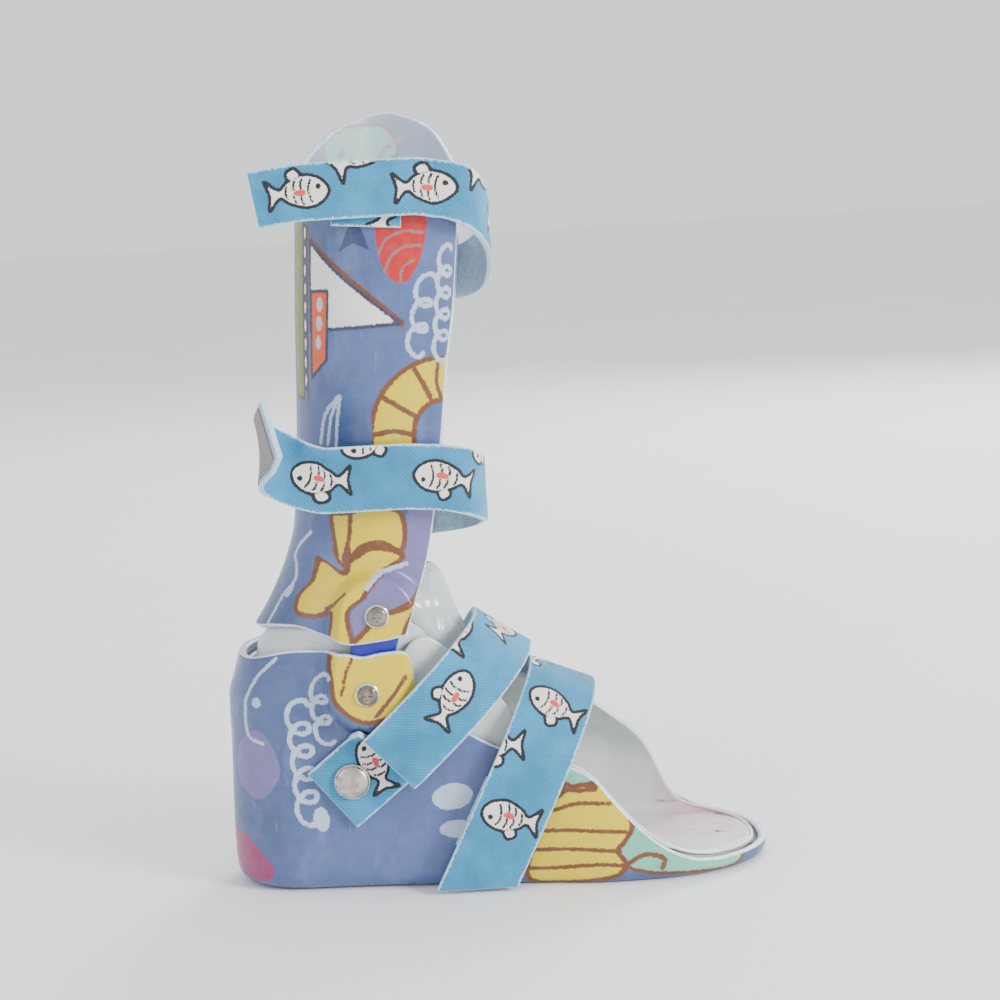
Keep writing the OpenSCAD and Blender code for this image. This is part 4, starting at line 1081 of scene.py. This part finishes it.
def strap_solid(name, frame_of, k, reach, thick, lift, step, inset, cut=None):
    """The stretch of a strap from t = reach[0] to reach[1], and its length. lift is how far its outer
    face is off the path, and inset how much narrower it is on each side."""
    t, way = even_steps(frame_of, k, *reach, step)
    here, n, across = frame_of(k, t)
    half = k.width / 2 - inset
    v = np.linspace(-half, half, int(k.width / step))
    points = here[:, None] + n[:, None] * lift + across[:, None] * v[None, :, None]
    normals = unit(np.repeat(n[:, None], len(v), 1))
    u = np.repeat(way[:, None], len(v), 1)
    if cut is not None:
        points, u = cut_level(points, u, cut)
    solid = Solid(name, points, normals, thick, u, np.repeat(v[None], len(t), 0), edge=0.45)
    solid.store("half", np.full(len(solid.u), half))
    return solid, way[-1]


def finish_cloth(solid, length, half, first, turns, second_row, material, nodes, body):
    paint(solid, strap_shapes(length, half, first, turns, second_row), 0, ("white", "ink", "coral"))
    return solid.finish(material, "printed_strap", nodes, body)


CLOTH_STEP, CLOTH_INSET, HOOK_STEP, HOOK_INSET = 0.8, 0.4, 1.2, 1.8


def make_straps(cloth, hooks):
    # Each strap: its name, body, path, reach, first motif, motif turns, second row, where the bend of its
    # opening end starts and ends, and the reach of its hook pad
    made = [
        ("top", "calf", calf_strap_frame, TOP_STRAP, (0, 3), 17, (0, 4), 0.5,
         (76, -44, 274), (62, -50, 274), (0.3, 0.74)),
        ("mid", "calf", calf_strap_frame, MID_STRAP, (0, 3), 46, (178, 176), 0.42,
         (64, -39.5, 166), (51, -46, 166), (0.03, 0.6)),
        ("instep", "foot", foot_strap_frame, INSTEP, (0, 4), 36, (12, -10), 0.5,
         (75.6, -36, 86.2), (66.8, -41, 78), (0.06, 0.7)),
        ("forefoot", "foot", foot_strap_frame, FOREFOOT, (-0.25, 4), 38, (100, 80), 0.5,
         (102.6, -30, 62), (97.2, -37, 51.3), (0.5, 1.1)),
    ]
    for name, body, frame_of, k, reach, first, turns, second_row, start, end, pad in made:
        cut = FOREFOOT_CUT_Z if name == "forefoot" else None
        solid, length = strap_solid(name + "_strap_cloth", frame_of, k, reach, STRAP_T - 0.1, STRAP_T - 0.05,
                                    CLOTH_STEP, CLOTH_INSET, cut)
        strap = finish_cloth(solid, length, k.width / 2 - CLOTH_INSET, first, turns, second_row, cloth,
                             [name + "_strap_band", name + "_strap_flap"], None)
        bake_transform(strap)
        pad_solid, _ = strap_solid(name + "_hook_pad", frame_of, k, pad, HOOK_T + 0.1, 0.2,
                                   HOOK_STEP, HOOK_INSET)
        pad_solid.finish(hooks, "hook_pad", [name + "_flap_hooks"], name + "_flap")


def calf_base(x, z):
    return wall_y(x, z, 0)


def foot_base(x, z):
    """The foot's outer wall, at its highest within 2 mm, so that a stiff tab clears its bosses."""
    lateral = np.zeros(np.shape(x), bool)
    around = [foot_wall(x + dx * 2, z + dz * 2, lateral) for dx in (-1, 0, 1) for dz in (-1, 0, 1)]
    return np.max(around, axis=0)


def make_tabs(cloth):
    """The hook tabs on the outer side: name, place, length, width, angle, thickness, wall under it, body."""
    tabs = [("top_hook_tab", (46.5, 269.5), 26, 19, -5, TAB_T, calf_base, "calf"),
            ("mid_hook_tab", (38, 167), 26, 19, 0, TAB_T, calf_base, "calf"),
            ("instep_hook_tab", (28, 46.8), 28, 29, 39, STRAP_T, foot_base, "foot"),
            ("forefoot_hook_tab", (80, 27), 30, 20, 63, TAB_T, foot_base, "foot")]
    for name, at, length, width, angle, thick, base, body in tabs:
        half_length, half = length / 2 - CLOTH_INSET, width / 2 - CLOTH_INSET
        q = np.linspace(-half_length, half_length, 40)[:, None]
        w = np.linspace(-half, half, 40)[None, :]
        c, s = math.cos(math.radians(angle)), math.sin(math.radians(angle))
        x, z = at[0] + q * c - w * s, at[1] + q * s + w * c
        points = np.stack([x, -(base(x, z) + CLEAR + thick - 0.02), z], -1)
        normals = grid_normals(points, False, (40, 0, 80 if body == "foot" else 200))
        solid = Solid(name + "_cloth", points, normals, thick - 0.1, q + 0 * w, w + 0 * q, edge=0.4)
        solid.store("half", np.full(len(solid.u), half))
        finish_cloth(solid, 20, width / 2, 9, (70,), 0.6, cloth, [name], body)


# ---------------------------------------------------------------- flexures and metal hardware
FLEXURE_END_R, FLEXURE_WAIST, FLEXURE_NECK, BEND_REACH = 9.1, 1.1, 0.5, 6


def make_flexures(material):
    """Two rubber bars with round ends about the screws, narrower and thinner half way between them."""
    reach = SCREW_PITCH / 2
    round_end = FLEXURE_END_R * np.cos(np.radians(np.linspace(4, 88, 12)))
    straight = np.linspace(-reach, reach, 32)
    s = np.concatenate([-reach - round_end, straight, reach + round_end[::-1]])[:, None]
    across = np.linspace(-1, 1, 17)[None, :]
    over = np.maximum(np.abs(s) - reach, 0)
    waist = FLEXURE_WAIST * np.cos(np.clip(s / reach, -1, 1) * math.pi / 2) ** 2
    half = np.sqrt(np.maximum((FLEXURE_END_R + 0.05) ** 2 - over ** 2, 0.2)) - waist
    side_way = np.array([math.cos(JOINT_LEAN), 0, -math.sin(JOINT_LEAN)])
    flat = AXIS + s[..., None] * LEAN + (half * across)[..., None] * side_way
    middle = np.clip(s / (reach - BEND_REACH), -1, 1) * math.pi / 2
    neck = FLEXURE_NECK * np.cos(middle) ** 2 * (1 + 0 * across)
    for name, sign in (("lateral", -1), ("medial", 1)):
        points = flat.copy()
        points[..., 1] = sign * (FLEXURE_OUT - neck)
        normals = np.zeros_like(points)
        normals[..., 1] = sign
        solid = Solid("flexure_" + name + "_soft", points, normals, FLEXURE_T - 1, s + 0 * across,
                      half * across, edge=0.7)
        piece = solid.finish(material, "flexure", ["flexure_" + name])
        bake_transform(piece)


def flexure_material():
    g = Graph("flexure_blue")
    where = g.place()
    base = g.mix(g.spots(where, 90, 3, 0.35, 0.65), srgb(12, 20, 128), srgb(20, 34, 160))
    g.bump(g.noise(where, 300, 3), 0.2, 0.0006)
    return g.set(Base_Color=base, Roughness=0.32, Coat_Weight=0.15, Subsurface_Weight=0.05,
                 Subsurface_Radius=(0.002, 0.002, 0.004))


def metal_material(name, bright, dull, smooth, rough, dents):
    """Handled metal: clouds between two colours, and fine scratches between two roughnesses."""
    g = Graph(name)
    cloud = g.noise(g.place(), 300, 4, 0.65)
    base = g.mix(g.between(cloud, 0.4, 0.7), bright, dull)
    scratches = g.noise(g.place((1, 1, 8)), 500, 3, 0.7)
    g.bump(g.sum(scratches, 1, cloud, dents), 0.12, 0.0003)
    return g.set(Base_Color=base, Metallic=1.0, Roughness=g.between(scratches, 0.35, 0.75, smooth, rough))


def lathe(name, profile, place, side, material, node, body, turns=64):
    """A turned piece about the line through place across the brace. profile is [radius, height] pairs."""
    p = np.asarray(profile, float)
    a = np.arange(turns) * 2 * math.pi / turns
    x = place[0] + p[None, :, 0] * np.cos(a)[:, None]
    z = place[2] + p[None, :, 0] * np.sin(a)[:, None]
    y = side * np.repeat(p[None, :, 1], turns, 0)
    points = np.stack([x, y, z], -1)
    index = np.arange(turns * len(p)).reshape(turns, len(p))
    after = np.roll(index, -1, 0)
    quads = np.stack([index[:, :-1], index[:, 1:], after[:, 1:], after[:, :-1]], -1).reshape(-1, 4)
    if side > 0:
        quads = quads[:, ::-1]
    mesh = bpy.data.meshes.new(name)
    mesh.from_pydata((points.reshape(-1, 3) * MM).tolist(), [], quads.tolist())
    mesh.polygons.foreach_set("use_smooth", np.ones(len(mesh.polygons), bool))
    mesh.validate()
    piece = bpy.data.objects.new(name, mesh)
    bpy.context.scene.collection.objects.link(piece)
    mesh.materials.append(material)
    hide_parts(node)
    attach(piece, body)


SHANK_R, RIVET_FOOT_R, RIVET_MIDDLE = 2, 3.2, 0.02
LARGE_CAP_R, LARGE_CAP_TALL, SMALL_CAP_TALL = 6, 3.0, 2.4


def rivet_profile(cap, bottom, top):
    """From the flat head inside, up the shank, and over the rolled rim and the dome of the cap."""
    tall = LARGE_CAP_TALL if cap > LARGE_CAP_R else SMALL_CAP_TALL
    foot = top - tall
    inner_r = RIVET_FOOT_R - 0.1
    dome = [(cap * math.cos(b) * 0.9, foot + 1.1 + (tall - 1.15) * math.sin(b))
            for b in (math.radians(degrees) for degrees in range(8, 90, 6))]
    return [(RIVET_MIDDLE, bottom), (inner_r, bottom), (RIVET_FOOT_R, bottom + 0.3), (inner_r, bottom + 0.6),
            (SHANK_R, bottom + 0.6), (SHANK_R, foot + 0.1), (cap - 0.4, foot), (cap - 0.1, foot + 0.12),
            (cap, foot + 0.45), (cap - 0.1, foot + 0.85), (cap - 0.35, foot + 1.05),
            (cap * 0.93, foot + 1.0), (cap * 0.915, foot + 1.0)] + dome + [(RIVET_MIDDLE, top)]


def make_rivets(material):
    for node, body, side in (("top_strap_rivets", "calf", 1), ("mid_strap_rivets", "calf", 1),
                             ("instep_strap_rivet", "foot", 1), ("forefoot_rivets", "foot", 1),
                             ("instep_tab_rivet", "foot", -1)):
        low, high = (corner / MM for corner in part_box(node))
        bottom, top = sorted((side * low.y, side * high.y))
        profile = rivet_profile((high.x - low.x) / 2, bottom, top)
        lathe(node + "_turned", profile, (low + high) / 2, side, material, node, body)


def dress(nodes, material):
    """Gives CAD pieces that stay as they are their material."""
    for node in nodes:
        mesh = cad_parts[node].data
        mesh.materials.clear()
        mesh.materials.append(material)


# ---------------------------------------------------------------- the whole object
printed = shell_material("printed_shell", PRINT_LAYERS)
soft = milky_material("soft_boot", srgb(214, 220, 218), srgb(196, 205, 203), 0.3, 0.0)
clear = milky_material("clear_tongue", srgb(222, 230, 230), srgb(204, 214, 214), 0.12, 0.3, 1.6)
cloth = strap_material()
hook_tape = hook_material()
make_foot_shell(printed)
make_calf_shell(printed)
make_boot(soft)
make_tongue(clear)
make_straps(cloth, hook_tape)
make_tabs(cloth)
make_flexures(flexure_material())
make_rivets(metal_material("rivet_metal", srgb(196, 190, 184), srgb(150, 140, 130), 0.2, 0.42, 0.4))
chrome = metal_material("chrome", srgb(232, 230, 226), srgb(190, 182, 172), 0.08, 0.22, 0.2)
dress(["calf_cup_washers", "foot_cup_washers"], chrome)
screw = metal_material("screw_steel", srgb(150, 142, 132), srgb(96, 88, 80), 0.14, 0.36, 0.4)
dress(["calf_joint_screws", "foot_joint_screws"], screw)
plain = metal_material("nut_steel", srgb(186, 186, 184), srgb(140, 138, 134), 0.3, 0.5, 0.3)
dress(["calf_joint_nuts", "foot_joint_nuts"], plain)


# ---------------------------------------------------------------- stage
FLOOR_REACH, FLOOR_DROP = 40, 0.0003
SKY_COLOUR, SKY_STRENGTH = (0.97, 0.985, 1, 1), 1.22


def make_stage():
    r = FLOOR_REACH
    mesh = bpy.data.meshes.new("floor")
    mesh.from_pydata([(-r, -r, 0), (r, -r, 0), (r, r, 0), (-r, r, 0)], [], [(0, 1, 2, 3)])
    floor = bpy.data.objects.new("floor", mesh)
    floor.location.z = -FLOOR_DROP
    bpy.context.scene.collection.objects.link(floor)
    g = Graph("floor")
    colour = g.mix(g.spots(g.place(), 3, 2, 0.3, 0.7), srgb(246, 246, 246), srgb(249, 249, 249))
    mesh.materials.append(g.set(Base_Color=colour, Roughness=0.7))
    world = bpy.data.worlds.new("studio")
    world.use_nodes = True
    sky = world.node_tree.nodes["Background"]
    sky.inputs["Color"].default_value = SKY_COLOUR
    sky.inputs["Strength"].default_value = SKY_STRENGTH
    bpy.context.scene.world = world
    area_light("key", (2.1, -1.5, 1.05), 0.9, 88, (1, 0.98, 0.95))
    area_light("fill", (-1.9, -1.6, 0.85), 1.6, 12, (0.93, 0.96, 1))
    area_light("rim", (0.9, 1.8, 1.25), 1.2, 36, (1, 1, 1))


make_stage()
